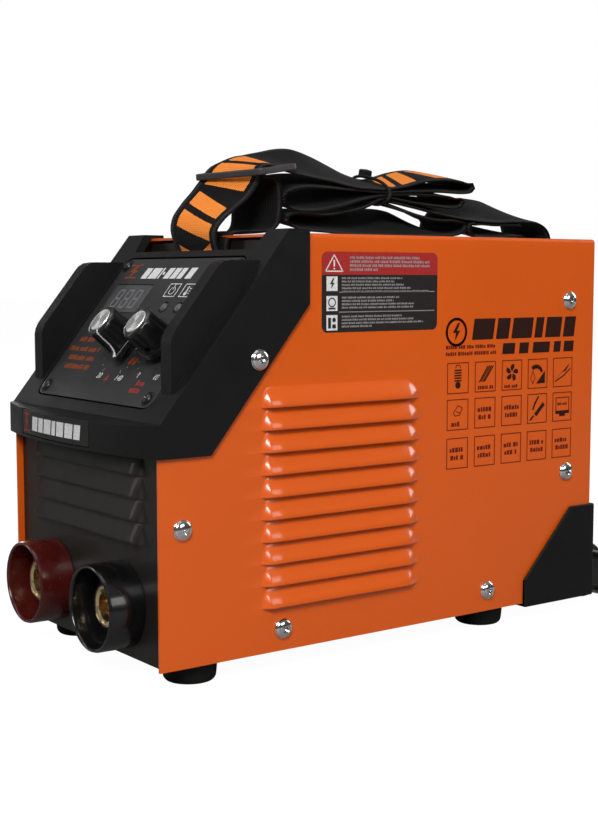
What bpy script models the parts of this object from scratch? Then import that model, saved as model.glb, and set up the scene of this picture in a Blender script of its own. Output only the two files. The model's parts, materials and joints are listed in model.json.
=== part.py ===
"""Stick welding inverter: a small portable arc welder in a folded sheet steel case.

Every sub-part is one named object.  Lengths are in millimetres in the case frame and are
turned into metres when the meshes are made:
    X  across the machine, 0 on the centre plane, + to the right seen from the front
    Y  0 at the front edge of the case cover, + towards the rear
    Z  0 at the bottom edge of the case cover, + up
The control parts use the slope frame: X across, Y up the slope, Z out of the sloping face.
The world origin lies on the floor, under the centre of the whole object.
"""

import math

import bmesh
import bpy
from mathutils import Matrix, Vector

MILLIMETRE = 0.001

# ---------------------------------------------------------------- driving dimensions
CASE_HALF = 68.0          # half width of the case cover
CASE_LEN = 262.6          # depth of the case cover
CASE_H = 185.0            # height of the case cover
SHEET = 1.2               # sheet steel thickness
GAP = 0.3                 # clearance between neighbouring pieces
FOOT_H = 10.0             # rubber foot height below the case
Y_MID = 142.15            # middle of the whole object's length
FRONT_Y = 3.0             # front panel face, recessed behind the cover's front edge
REAR_Y = 259.6            # rear panel face
PANEL_HALF = CASE_HALF - SHEET - GAP   # half width of what fits inside the cover
PANEL_BOT = 0.2           # lower edge of the tray and panels
REAR_INNER_Y = REAR_Y - SHEET - GAP    # rear limit of what stands inside the rear panel

SLANT = math.radians(51.14)   # slope of the control face
SLANT_Z = 105.2           # height of the slope's lower edge, at Y 0
BEZEL_HALF = 70.0         # half width of the plastic front bezel
BEZEL_TOP = 186.8
BEZEL_BOT = 90.6
WALL = 4.0                # thickness of the bezel's sloping wall

# Screw places: (y, z) on the case sides, (x, y) in the slope frame on the control plate
CASE_SCREWS = {
    "lower_front": (11.4, 59.8),
    "bottom_front": (63.5, 9.9),
    "bottom_rear": (188.8, 10.3),
    "rear_lower": (243.6, 65.7),
    "rear_upper": (244.2, 153.8),
}
BEZEL_SCREW = (49.7, 130.3)
PLATE_SCREWS = [(-47.5, 11.5), (47.5, 11.5), (-49.0, 84.5), (49.0, 84.5)]

# Control face, in the slope frame
PLATE_HALF = 53.0
PLATE_LOW, PLATE_HIGH = 6.8, 89.0
PLATE_T = 1.6
PLATE_BACK = -1.7
KNOB_Y = 38.0
KNOB_BASE = 3.2           # lower edge of the knobs above the slope
KNOBS = {                 # x, pointer angle counter-clockwise from up-slope
    "current": (3.0, -148.0),
    "arc": (34.9, 118.0),
}
LEDS = {"led_power": 10.4, "led_fault": 22.9}   # x of each lamp
LED_Y = 60.2

BADGE_LEFT, BADGE_WIDTH = -45.0, 70.0
BADGE_BOT, BADGE_TOP = 92.3, 103.5

SOCKET_X, SOCKET_Z = 32.5, 23.0
FAN_X, FAN_Z = 0.0, 126.0
SWITCH_X, SWITCH_Z = 38.0, 67.0
GLAND_X, GLAND_Z = -38.0, 67.0
STRAP_X = -2.0            # centre line of the strap and its anchors

SIDES = ((-1, "left"), (1, "right"))
DIAGONALS = [math.radians(45 + 90 * i) for i in range(4)]


def slope_z(y, depth=0.0):
    """Height of the sloping control face at y; depth is measured down into the wall."""
    return SLANT_Z + (y - depth / math.sin(SLANT)) * math.tan(SLANT)


def slope_y(z, depth=0.0):
    return (z - SLANT_Z) / math.tan(SLANT) + depth / math.sin(SLANT)


def bow_y(x):
    """Front face of the bezel's bowed lip at x."""
    middle, sweep = -10.5, 8.6
    return middle + sweep * (x / BEZEL_HALF) ** 2


# ---------------------------------------------------------------- scene and materials
for old in list(bpy.data.objects):
    bpy.data.objects.remove(old, do_unlink=True)

MATERIALS = {             # base colour, roughness, metallic
    "orange_paint": ((0.62, 0.095, 0.012), 0.32, 0.0),
    "black_paint": ((0.014, 0.014, 0.015), 0.42, 0.0),
    "bezel_plastic": ((0.016, 0.016, 0.017), 0.5, 0.0),
    "plate_grey": ((0.035, 0.035, 0.038), 0.4, 0.0),
    "window": ((0.06, 0.06, 0.065), 0.12, 0.0),
    "lens": ((0.12, 0.11, 0.11), 0.2, 0.0),
    "knob_black": ((0.008, 0.008, 0.009), 0.25, 0.0),
    "spun_aluminium": ((0.75, 0.75, 0.76), 0.28, 1.0),
    "socket_red": ((0.075, 0.008, 0.006), 0.18, 0.0),
    "socket_black": ((0.006, 0.006, 0.007), 0.15, 0.0),
    "brass": ((0.62, 0.45, 0.2), 0.3, 1.0),
    "chrome": ((0.72, 0.72, 0.74), 0.12, 1.0),
    "zinc": ((0.55, 0.56, 0.57), 0.35, 1.0),
    "rubber": ((0.01, 0.01, 0.01), 0.75, 0.0),
    "webbing": ((0.012, 0.012, 0.013), 0.85, 0.0),
    "buckle": ((0.045, 0.045, 0.05), 0.4, 0.0),
    "board_green": ((0.01, 0.09, 0.03), 0.45, 0.0),
    "aluminium": ((0.6, 0.61, 0.62), 0.4, 1.0),
    "ferrite": ((0.03, 0.03, 0.03), 0.6, 0.0),
    "sleeve_blue": ((0.02, 0.05, 0.2), 0.35, 0.0),
}


def material(name):
    found = bpy.data.materials.get(name)
    if found:
        return found
    colour, roughness, metallic = MATERIALS[name]
    made = bpy.data.materials.new(name)
    made.use_nodes = True
    shader = made.node_tree.nodes["Principled BSDF"]
    shader.inputs["Base Color"].default_value = (*colour, 1.0)
    shader.inputs["Roughness"].default_value = roughness
    shader.inputs["Metallic"].default_value = metallic
    made.diffuse_color = (*colour, 1.0)
    return made


# ---------------------------------------------------------------- frames and objects
def at(frame, x=0.0, y=0.0, z=0.0):
    """A frame moved to a point given in millimetres of that frame."""
    return frame @ Matrix.Translation(Vector((x, y, z)) * MILLIMETRE)


def spun(frame, degrees, axis):
    """A frame turned about one of its own axes."""
    return frame @ Matrix.Rotation(math.radians(degrees), 4, axis)


CASE = at(Matrix.Identity(4), y=-Y_MID, z=FOOT_H)
SLOPE = spun(at(CASE, z=SLANT_Z), math.degrees(SLANT), "X")


def make(name, shape, mat, frame=CASE, smooth=None):
    """One object from (verts, faces) in its frame; smooth is the sharp-edge angle in degrees."""
    verts, faces = shape
    mesh = bpy.data.meshes.new(name)
    mesh.from_pydata([tuple(c * MILLIMETRE for c in vert) for vert in verts], [], faces)
    edit = bmesh.new()
    edit.from_mesh(mesh)
    bmesh.ops.remove_doubles(edit, verts=edit.verts, dist=1e-7)
    bmesh.ops.recalc_face_normals(edit, faces=edit.faces)
    edit.to_mesh(mesh)
    edit.free()
    part = bpy.data.objects.new(name, mesh)
    bpy.context.scene.collection.objects.link(part)
    part.matrix_world = frame
    mesh.materials.append(material(mat))
    if smooth:
        mesh.shade_smooth()
        mesh.set_sharp_from_angle(angle=math.radians(smooth))
    return part


def modify(part, shape, operation, label, frame):
    """Applies a hidden helper shape to a part with an exact Boolean."""
    helper = make(f"{part.name}_{label}", shape, "chrome", frame)
    helper.hide_render = True
    helper.display_type = "WIRE"
    boolean = part.modifiers.new(label, "BOOLEAN")
    boolean.operation = operation
    boolean.solver = "EXACT"
    boolean.object = helper


def cut(part, shape, label, frame=CASE):
    modify(part, shape, "DIFFERENCE", label, frame)


def join(part, shape, label, frame=CASE):
    modify(part, shape, "UNION", label, frame)


# ---------------------------------------------------------------- shape functions
# Each returns (verts, faces).  A flat point (a, b) at t along an axis is
# X -> (t, a, b), Y -> (a, t, b), Z -> (a, b, t).
def axis_point(axis, a, b, t):
    return {"X": (t, a, b), "Y": (a, t, b), "Z": (a, b, t)}[axis]


def together(*shapes):
    """Several separate solids in one mesh."""
    verts, faces = [], []
    for new_verts, new_faces in shapes:
        offset = len(verts)
        verts += new_verts
        faces += [tuple(i + offset for i in face) for face in new_faces]
    return verts, faces


def loft(sections, closed=False):
    """Joins equal-length sections of 3-D points; closed joins the last to the first."""
    size, count = len(sections[0]), len(sections)
    verts = [point for section in sections for point in section]
    faces = []
    for k in range(count if closed else count - 1):
        here, there = k * size, (k + 1) % count * size
        for i in range(size):
            j = (i + 1) % size
            faces.append((here + i, here + j, there + j, there + i))
    if not closed:
        faces.append(tuple(range(size)))
        faces.append(tuple(range((count - 1) * size, count * size)))
    return verts, faces


def prism(axis, outline, start, end):
    """A flat outline pushed along an axis."""
    count = len(outline)
    verts = [axis_point(axis, a, b, t) for t in (start, end) for a, b in outline]
    faces = [tuple(range(count)), tuple(range(count, 2 * count))]
    for i in range(count):
        j = (i + 1) % count
        faces.append((i, j, count + j, count + i))
    return verts, faces


def block(left, right, front, back, bottom, top):
    corners = [(left, front), (right, front), (right, back), (left, back)]
    return prism("Z", corners, bottom, top)


def rounded(a_min, a_max, b_min, b_max, radius, steps):
    """Outline of a rectangle with rounded corners."""
    centres = ((a_max - radius, b_max - radius), (a_min + radius, b_max - radius),
               (a_min + radius, b_min + radius), (a_max - radius, b_min + radius))
    points = []
    for quarter, (a, b) in enumerate(centres):
        for i in range(steps + 1):
            angle = math.radians(90 * quarter + 90 * i / steps)
            points.append((a + radius * math.cos(angle), b + radius * math.sin(angle)))
    return points


def turned(axis, centre, profile, segments, closed=False):
    """A turned shape from (radius, position along the axis) points; radius 0 closes an end.
    closed joins the last point to the first."""
    verts, rings = [], []
    for radius, t in profile:
        count = segments if radius else 1
        rings.append(range(len(verts), len(verts) + count))
        for i in range(count):
            angle = 2 * math.pi * i / segments
            a = centre[0] + radius * math.cos(angle)
            b = centre[1] + radius * math.sin(angle)
            verts.append(axis_point(axis, a, b, t))
    pairs = list(zip(rings, rings[1:]))
    if closed:
        pairs.append((rings[-1], rings[0]))
    faces = []
    for here, there in pairs:
        if len(here) == 1 and len(there) == 1:
            continue
        for i in range(segments):
            j = (i + 1) % segments
            if len(here) == 1:
                faces.append((here[0], there[i], there[j]))
            elif len(there) == 1:
                faces.append((here[i], here[j], there[0]))
            else:
                faces.append((here[i], here[j], there[j], there[i]))
    return verts, faces


def rod(axis, centre, radius, start, end, segments):
    """A plain cylinder."""
    return turned(axis, centre, [(0, start), (radius, start), (radius, end), (0, end)], segments)


def raised(points, height):
    """The same points with their second coordinate raised."""
    return [(a, height + b) for a, b in points]


def smooth_path(points, steps):
    """Catmull-Rom curve through the points."""
    knots = [Vector(point) for point in points]
    knots = [2 * knots[0] - knots[1]] + knots + [2 * knots[-1] - knots[-2]]
    path = []
    for i in range(1, len(knots) - 2):
        before, start, end, after = knots[i - 1:i + 3]
        for k in range(steps):
            t = k / steps
            path.append(0.5 * ((2 * start) + (end - before) * t
                               + (2 * before - 5 * start + 4 * end - after) * t * t
                               + (3 * start - before - 3 * end + after) * t ** 3))
    path.append(knots[-2])
    return path


def square_to(side, direction):
    """The part of side that is square to a unit direction, at unit length."""
    return (side - direction * side.dot(direction)).normalized()


def round_section(centre, direction, side, radius, segments):
    """A circle round a path point, starting towards side."""
    up = direction.cross(side)
    section = []
    for k in range(segments):
        angle = 2 * math.pi * k / segments
        section.append(tuple(centre + radius * (math.cos(angle) * side + math.sin(angle) * up)))
    return section


def tube(path, radius, segments):
    """A round cord or wire along a path, with flat ends.  The section keeps its twist."""
    sections = []
    side = None
    for i, point in enumerate(path):
        direction = (path[min(i + 1, len(path) - 1)] - path[max(i - 1, 0)]).normalized()
        if side is None:
            side = direction.orthogonal().normalized()
        side = square_to(side, direction)
        sections.append(round_section(point, direction, side, radius, segments))
    return loft(sections)


def side_holes(places, segments):
    """Screw holes through both case sides, at (y, z) places."""
    return together(*[rod("X", place, 2.6, -90, 90, segments) for place in places])


def slope_holes(places, radius, bottom, top, segments):
    """Round holes square to the control face, as a list of solids in the slope frame."""
    return [rod("Z", place, radius, bottom, top, segments) for place in places]


# ================================================================ louvres
SIDE_LOUVRE = dict(start=52.4, end=142.7, height=7.4, depth=3.0, taper=5.0)
SIDE_LIPS = [109.2 - 9.88 * i for i in range(10)]
FRONT_LOUVRE = dict(start=-52.5, end=52.5, height=7.6, depth=2.4, taper=4.0)
FRONT_LIPS = [81.5 - 10.0 * i for i in range(4)]


def louvre_stations(start, end, taper):
    """(place along the louvre, share of full size), swelling from and back to the ends."""
    swell = [(taper * e, math.sin(math.pi / 2 * (0.25 + 0.75 * e))) for e in (0.0, 0.4, 1.0)]
    return ([(start + inset, share) for inset, share in swell]
            + [(end - inset, share) for inset, share in reversed(swell)])


def louvre_section(side, along, profile):
    """Places (distance out of the sheet, z) points: side is +1 or -1 for the case sides,
    0 for the front panel."""
    if side:
        return [(side * (CASE_HALF + out), along, z) for out, z in profile]
    return [(along, FRONT_Y - out, z) for out, z in profile]


def louvre(side, lip, start, end, height, depth, taper):
    """One pressed louvre: it stands furthest out at its lower lip and slopes back above it."""
    root = -0.5
    sections = []
    for along, share in louvre_stations(start, end, taper):
        out, top = depth * share, lip + height * share
        profile = [(root, lip), (out, lip), (out, lip + 0.5), (0.0, top), (root, top)]
        sections.append(louvre_section(side, along, profile))
    return loft(sections)


def louvre_hollow(side, lip, start, end, height, depth, taper):
    """The hollow under a louvre, open at the lip and through the sheet."""
    wall = SHEET + 0.1
    reach = SHEET + 0.8
    below = lip - 0.4
    sections = []
    for along, share in louvre_stations(start, end, taper):
        along = min(max(along, start + wall), end - wall)
        out = max(depth * share - wall, 0.05)
        top = lip + (out + reach) * height / depth
        profile = [(-reach, below), (out, below), (out, lip), (-reach, top)]
        sections.append(louvre_section(side, along, profile))
    return loft(sections)


def add_louvres(part, places, size):
    """Louvres at (side, lip height) places."""
    join(part, together(*[louvre(*place, **size) for place in places]), "louvres")
    cut(part, together(*[louvre_hollow(*place, **size) for place in places]), "louvre_hollows")


# ================================================================ case
def case_cover():
    """Orange U-shaped sheet: left side, top and right side in one piece."""
    bend = 2.0
    outer, inner = [], []
    for x, start in ((CASE_HALF - bend, 0), (bend - CASE_HALF, 90)):
        for i in range(5):
            angle = math.radians(start + 90 * i / 4)
            for points, radius in ((outer, bend), (inner, bend - SHEET)):
                points.append((x + radius * math.cos(angle),
                               CASE_H - bend + radius * math.sin(angle)))
    inside = CASE_HALF - SHEET
    outline = [(CASE_HALF, 0.0)] + outer + [(-CASE_HALF, 0.0), (-inside, 0.0)]
    outline += inner[::-1] + [(inside, 0.0)]
    cover = make("case_cover", prism("Y", outline, 0.0, CASE_LEN), "orange_paint", smooth=30)

    # The front corner is cut back under the bezel's sloping wall
    depth, front, top = WALL + 0.45, -6.0, CASE_H + 5
    corner = [(front, slope_z(front, depth)), (slope_y(top, depth), top), (front, top)]
    cut(cover, prism("X", corner, -80, 80), "front_slope")
    add_louvres(cover, [(side, lip) for side in (1, -1) for lip in SIDE_LIPS], SIDE_LOUVRE)
    cut(cover, side_holes([*CASE_SCREWS.values(), BEZEL_SCREW], 12), "screw_holes")


def base_tray():
    """Black steel floor with turned-up sides, inside the cover."""
    edge_z, thick = 17.0, 1.5
    slot_half, slot_width, slot_pitch = 30, 4, 12
    inside = PANEL_HALF - thick
    floor = PANEL_BOT + thick
    outline = [(-PANEL_HALF, PANEL_BOT), (PANEL_HALF, PANEL_BOT), (PANEL_HALF, edge_z),
               (inside, edge_z), (inside, floor), (-inside, floor), (-inside, edge_z),
               (-PANEL_HALF, edge_z)]
    shape = prism("Y", outline, FRONT_Y + SHEET + GAP, REAR_INNER_Y)
    tray = make("base_tray", shape, "black_paint")
    slots = [prism("Z", rounded(-slot_half, slot_half, y, y + slot_width, 1.9, 3), -1, 3)
             for y in range(66, 160, slot_pitch)]
    cut(tray, together(*slots), "floor_slots")
    places = [CASE_SCREWS["bottom_front"], CASE_SCREWS["bottom_rear"]]
    cut(tray, side_holes(places, 10), "screw_holes")


def upright_panel(name, top, front):
    """Flat steel panel across the inside of the cover."""
    outline = [(-PANEL_HALF, PANEL_BOT), (PANEL_HALF, PANEL_BOT),
               (PANEL_HALF, top), (-PANEL_HALF, top)]
    return make(name, prism("Y", outline, front, front + SHEET), "black_paint")


def front_panel():
    """Black steel front with four louvres and the two socket holes."""
    panel = upright_panel("front_panel", 90.0, FRONT_Y)
    add_louvres(panel, [(0, lip) for lip in FRONT_LIPS], FRONT_LOUVRE)
    holes = [rod("Y", (x, SOCKET_Z), 14.4, -5, 9, 28) for x in (SOCKET_X, -SOCKET_X)]
    cut(panel, together(*holes), "socket_holes")


def rear_panel():
    """Black steel back with the fan opening and the holes for the switch and the cord."""
    panel = upright_panel("rear_panel", 183.4, REAR_Y - SHEET)
    front, back = REAR_Y - 4, REAR_Y + 3
    holes = [rod("Y", (FAN_X, FAN_Z), 37.5, front, back, 36),
             switch_block(11.2, 14.2, front, back),
             rod("Y", (GLAND_X, GLAND_Z), 8.3, front, back, 20)]
    cut(panel, together(*holes), "openings")


# Bumper outline (y, z)
BUMPER_PROFILE = [(214.0, -1.8), (264.5, -1.8), (264.5, 47.2), (246.5, 47.2), (214.0, 12.9)]


def rear_bumper():
    """Black plastic guard round the lower rear of the case."""
    shape = prism("X", BUMPER_PROFILE, -BEZEL_HALF, BEZEL_HALF)
    bumper = make("rear_bumper", shape, "bezel_plastic")
    inner_half = CASE_HALF + GAP
    hollow = block(-inner_half, inner_half, 200.0, CASE_LEN + GAP, -GAP, 60.0)
    cut(bumper, hollow, "inside")


def feet():
    """Four rubber feet, narrowing to the floor."""
    profile = [(0, -GAP), (12.2, -GAP), (12.2, -4.0), (11.6, -8.4), (10.2, -FOOT_H), (0, -FOOT_H)]
    for end, y in (("front", 25.0), ("rear", 199.0)):
        for side, x in (("right", 51.0), ("left", -51.0)):
            shape = turned("Z", (x, y), profile, 20)
            make(f"foot_{end}_{side}", shape, "rubber", smooth=40)


# ================================================================ front bezel
LIP_FRONT = -2.0          # front of the flat part behind the bowed lip
BOW_STEPS = 14
BEZEL_PROFILE = [         # (y, z)
    (LIP_FRONT, BEZEL_BOT), (25.0, BEZEL_BOT), (77.0, 154.0), (77.0, BEZEL_TOP),
    (slope_y(BEZEL_TOP), BEZEL_TOP), (0.0, SLANT_Z), (LIP_FRONT, SLANT_Z),
]
GUARD_INNER, GUARD_OUTER = 56.0, 64.0   # distance of the guard's faces from the centre plane
GUARD_PROFILE = [         # (y, z)
    (9.0, slope_z(9.0) - 1.5), (9.0, 139.5), (9.8, 142.2), (32.7, 170.3),
    (35.5, 172.3), (39.5, 173.0), (56.0, 173.0), (56.0, 172.0),
]
STRAP_NOTCH = [(-51.5, 178.0), (51.5, 178.0), (55.5, 190.0), (-55.5, 190.0)]   # (x, z)


def badge_xs(margin=0.0):
    """Stations across the badge, widened by a margin at each end."""
    return [BADGE_LEFT - margin + (BADGE_WIDTH + 2 * margin) * i / 8 for i in range(9)]


def front_bezel():
    """Black plastic head: sloping control face, bowed lip, side skirts and two guards."""
    shape = prism("X", BEZEL_PROFILE, -BEZEL_HALF, BEZEL_HALF)
    bezel = make("front_bezel", shape, "bezel_plastic", smooth=30)

    # The bow stops just short of the sides so that no faces coincide
    back, inset = 0.8, 0.02
    bow = [(BEZEL_HALF - inset, back)]
    for i in range(BOW_STEPS + 1):
        x = BEZEL_HALF * (1 - 2 * i / BOW_STEPS)
        bow.append((x * 0.9998, bow_y(x)))
    bow.append((inset - BEZEL_HALF, back))
    join(bezel, prism("Z", bow, BEZEL_BOT, SLANT_Z), "bow")
    for side, label in SIDES:
        near, far = sorted((side * GUARD_INNER, side * GUARD_OUTER))
        join(bezel, prism("X", GUARD_PROFILE, near, far), f"guard_{label}")
    cut_bezel_body(bezel)
    cut_bezel_face(bezel)
    cut(bezel, side_holes([BEZEL_SCREW], 12), "side_screw_holes")

    margin = 0.4
    recess = [(x, bow_y(x) + 1.2) for x in badge_xs(margin)]
    recess += [(BADGE_LEFT + BADGE_WIDTH + margin, -16.0), (BADGE_LEFT - margin, -16.0)]
    shape = prism("Z", recess, BADGE_BOT - margin, BADGE_TOP + margin)
    cut(bezel, shape, "badge_recess")


def cut_bezel_body(bezel):
    """Hollow over the case, slots for the cover's front edges and the strap notch."""
    front, back = FRONT_Y - GAP, 82.0
    bottom, top = BEZEL_BOT - 3, CASE_H + GAP
    half = CASE_HALF + GAP
    inside = [(front, bottom), (front, slope_z(front, WALL)), (slope_y(top, WALL), top),
              (back, top), (back, bottom)]
    cut(bezel, prism("X", inside, -half, half), "inside")
    slots = [block(left, right, -GAP, 6.0, bottom, 102.0)
             for left, right in ((66.0, half), (-half, -66.0))]
    cut(bezel, together(*slots), "cover_slots")
    cut(bezel, prism("Y", STRAP_NOTCH, 50.0, 80.0), "strap_notch")


def cut_bezel_face(bezel):
    """Seat, window and screw holes for the control plate."""
    margin = 0.7
    seat = rounded(-PLATE_HALF - margin, PLATE_HALF + margin,
                   PLATE_LOW - margin, PLATE_HIGH + margin, 5.4, 3)
    window = rounded(-48.0, 49.0, 18.0, 80.0, 3.0, 2)
    holes = slope_holes(PLATE_SCREWS, 1.6, -9, 2, 10)
    cut(bezel, prism("Z", seat, -2.0, 3.0), "plate_recess", SLOPE)
    cut(bezel, prism("Z", window, -9.0, 3.0), "control_window", SLOPE)
    cut(bezel, together(*holes), "plate_screw_holes", SLOPE)


def badge_plate():
    """Blank plate in the recess of the bowed lip; it follows the bow."""
    front, back = 0.1, 0.85   # behind the face of the bow
    outline = [(x, bow_y(x) + front) for x in badge_xs()]
    outline += [(x, bow_y(x) + back) for x in reversed(badge_xs())]
    make("badge_plate", prism("Z", outline, BADGE_BOT, BADGE_TOP), "plate_grey")


# ================================================================ control face
def control_plate():
    """Dark grey panel on the slope, with holes for the shafts, lamps, display and screws."""
    outline = rounded(-PLATE_HALF, PLATE_HALF, PLATE_LOW, PLATE_HIGH, 5.0, 4)
    shape = prism("Z", outline, PLATE_BACK, PLATE_BACK + PLATE_T)
    plate = make("control_plate", shape, "plate_grey", SLOPE)
    bottom, top = -5, 3
    holes = slope_holes([(x, KNOB_Y) for x, _ in KNOBS.values()], 3.9, bottom, top, 18)
    holes += slope_holes([(x, LED_Y) for x in LEDS.values()], 2.8, bottom, top, 14)
    holes.append(prism("Z", rounded(-46.3, -12.2, 56.2, 73.3, 1.3, 2), bottom, top))
    holes += slope_holes(PLATE_SCREWS, 1.6, bottom, top, 10)
    cut(plate, together(*holes), "holes", SLOPE)


def display_window():
    outline = rounded(-46.0, -12.5, 56.5, 73.0, 1.0, 2)
    make("display_window", prism("Z", outline, -2.6, -0.2), "window", SLOPE)


def lamps():
    """Two domed lamps."""
    profile = [(0, 0.9), (1.4, 0.7), (2.3, 0.1), (2.5, -0.6), (2.5, -6.0), (0, -6.0)]
    for name, x in LEDS.items():
        make(name, turned("Z", (x, LED_Y), profile, 14), "lens", SLOPE, smooth=50)


# Fluted grip: mean radius, depth of the lobes, height above the knob's lower edge
GRIP_SECTIONS = [(8.8, 0.25, 1.4), (8.1, 0.25, 14.4), (6.7, 0.2, 15.6)]
GRIP_POINTS, GRIP_LOBES = 36, 9
# Pointer outline: distance from the knob's axis, height above its lower edge
POINTER_PROFILE = [(6.0, 0.7), (12.3, 0.7), (12.3, 2.9), (10.4, 3.4), (8.5, 6.8), (6.0, 6.8)]
# Cap outline: radius, height above the knob's lower edge
CAP_PROFILE = [(0, 15.9), (5.4, 16.0), (5.85, 15.8), (5.9, 15.5), (0, 15.5)]
# Bushing and body of the potentiometer: radius, height in the slope frame
POT_PROFILE = [(3.35, -2.4), (3.35, -6.9), (2.0, -7.2), (2.0, -15.0),
               (8.0, -15.0), (8.0, -6.8), (3.75, -6.6), (3.75, -2.4)]


def knob_grip():
    sections = []
    for radius, lobe, height in GRIP_SECTIONS:
        section = []
        for i in range(GRIP_POINTS):
            angle = 2 * math.pi * (i + 0.25) / GRIP_POINTS
            reach = radius + lobe * math.cos(GRIP_LOBES * angle)
            section.append((reach * math.sin(angle), reach * math.cos(angle), KNOB_BASE + height))
        sections.append(section)
    return loft(sections)


def knob_skirt():
    """Drop-shaped flange: a round skirt drawn out tangentially to a small tip."""
    skirt, tip_y, tip = 9.2, 12.4, 1.0   # radius, tip distance, tip radius
    lean = math.acos((skirt - tip) / tip_y)
    angles = [lean + (2 * math.pi - 2 * lean) * i / 24 for i in range(25)]
    drop = [(skirt * math.sin(a), skirt * math.cos(a)) for a in angles]
    drop += [(tip * math.sin(a), tip_y + tip * math.cos(a)) for a in (-lean, 0.0, lean)]
    return prism("Z", drop, KNOB_BASE, KNOB_BASE + 2.4)


def knob(label, x, pointer):
    """Pointer knob with a spun cap, on its potentiometer's shaft."""
    base, axis = KNOB_BASE, (0, 0)
    centre = at(SLOPE, x, KNOB_Y)
    frame = spun(centre, pointer, "Z")
    body = make(f"{label}_knob", knob_grip(), "knob_black", frame, smooth=40)
    join(body, knob_skirt(), "skirt", frame)
    join(body, prism("X", raised(POINTER_PROFILE, base), -1.03, 1.07), "pointer", frame)
    cut(body, rod("Z", axis, 3.3, base - 1.0, base + 11.0, 16), "bore", frame)
    cut(body, rod("Z", axis, 6.2, base + 15.2, base + 18.0, 25), "cap_seat", frame)
    cut(body, rod("X", (0.0, base + 5.2), 1.3, -14.0, -5.0, 10), "set_screw_hole", frame)
    cap = turned("Z", axis, raised(CAP_PROFILE, base), 28)
    make(f"{label}_knob_cap", cap, "spun_aluminium", frame, smooth=30)
    shaft = rod("Z", axis, 3.0, base + 10.4, -6.6, 16)
    make(f"{label}_shaft", shaft, "zinc", frame, smooth=40)
    pot = turned("Z", axis, POT_PROFILE, 20, closed=True)
    make(f"{label}_pot", pot, "zinc", centre, smooth=40)


def knobs():
    for label, (x, pointer) in KNOBS.items():
        knob(label, x, pointer)


# ================================================================ screws
SIDE_HEAD_H = 2.3


def screw(radius, height, shank_radius, shank, segments):
    """Domed head over a plain shank; the head sits on Z 0."""
    dome = [(0.0, height)]
    for angle in (math.radians(38), math.radians(70)):
        dome.append((radius * math.sin(angle), height * math.cos(angle)))
    profile = dome + [(radius, 0.0), (shank_radius, 0.0), (shank_radius, -shank), (0.0, -shank)]
    return turned("Z", (0, 0), profile, segments)


def cross_slot(arm, half, top, depth):
    """Cross with arms reaching arm from the centre and 2 * half wide."""
    plus = [(arm, half), (half, half), (half, arm), (-half, arm), (-half, half), (-arm, half),
            (-arm, -half), (-half, -half), (-half, -arm), (half, -arm), (half, -half),
            (arm, -half)]
    return prism("Z", plus, top - depth, top + 1)


def side_screws():
    """Cross-head screws on both sides, each turned to its own angle."""
    places = {**CASE_SCREWS, "bezel": BEZEL_SCREW}
    for side, label in reversed(SIDES):
        for i, (name, (y, z)) in enumerate(places.items()):
            seat = (BEZEL_HALF if name == "bezel" else CASE_HALF) + 0.05
            outward = spun(at(CASE, side * seat, y, z), side * 90, "Y")
            frame = spun(outward, 20 + 31 * i, "Z")
            shape = screw(4.65, SIDE_HEAD_H, 2.1, 6.0, 12)
            part = make(f"screw_{label}_{name}", shape, "chrome", frame, smooth=45)
            cut(part, cross_slot(1.9, 0.45, SIDE_HEAD_H, 1.3), "cross_slot", frame)


def plate_screws():
    """Small slotted screws on the control plate."""
    for i, (x, y) in enumerate(PLATE_SCREWS):
        frame = at(SLOPE, x, y, -0.05)
        shape = screw(2.7, 1.2, 1.2, 5.0, 10)
        part = make(f"plate_screw_{i + 1}", shape, "knob_black", frame, smooth=45)
        cut(part, block(-1.2, 1.2, -0.3, 0.3, 0.5, 2.0), "slot", frame)


# ================================================================ sockets
SOCKET_R = 19.4
SOCKET_RIM = -14.4        # front edge of the collar
# Both profiles: (radius, y)
COLLAR_PROFILE = [
    (SOCKET_R - 0.4, SOCKET_RIM + 0.3), (SOCKET_R, SOCKET_RIM + 1.2), (SOCKET_R - 0.3, 0.5),
    (SOCKET_R - 0.3, FRONT_Y - GAP), (14.0, FRONT_Y - GAP), (14.0, 12.0), (9.95, 12.0),
    (9.95, -1.0), (16.6, -1.0), (17.4, SOCKET_RIM + 1.0), (SOCKET_R - 1.2, SOCKET_RIM),
]
CONTACT_PROFILE = [
    (9.3, -6.8), (9.6, -6.4), (9.6, 16.0), (5.0, 16.0), (5.0, 30.0), (0.0, 30.0),
    (0.0, 12.0), (6.7, 11.0), (6.7, -6.0), (7.2, -6.8),
]


def sockets():
    """Sockets for the two welding cables: an insulating collar round a brass contact."""
    for label, x, mat in (("positive", -SOCKET_X, "socket_red"),
                          ("negative", SOCKET_X, "socket_black")):
        centre = (x, SOCKET_Z)
        collar = turned("Y", centre, COLLAR_PROFILE, 32, closed=True)
        make(f"{label}_collar", collar, mat, smooth=35)
        contact = turned("Y", centre, CONTACT_PROFILE, 28, closed=True)
        make(f"{label}_contact", contact, "brass", smooth=35)


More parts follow.
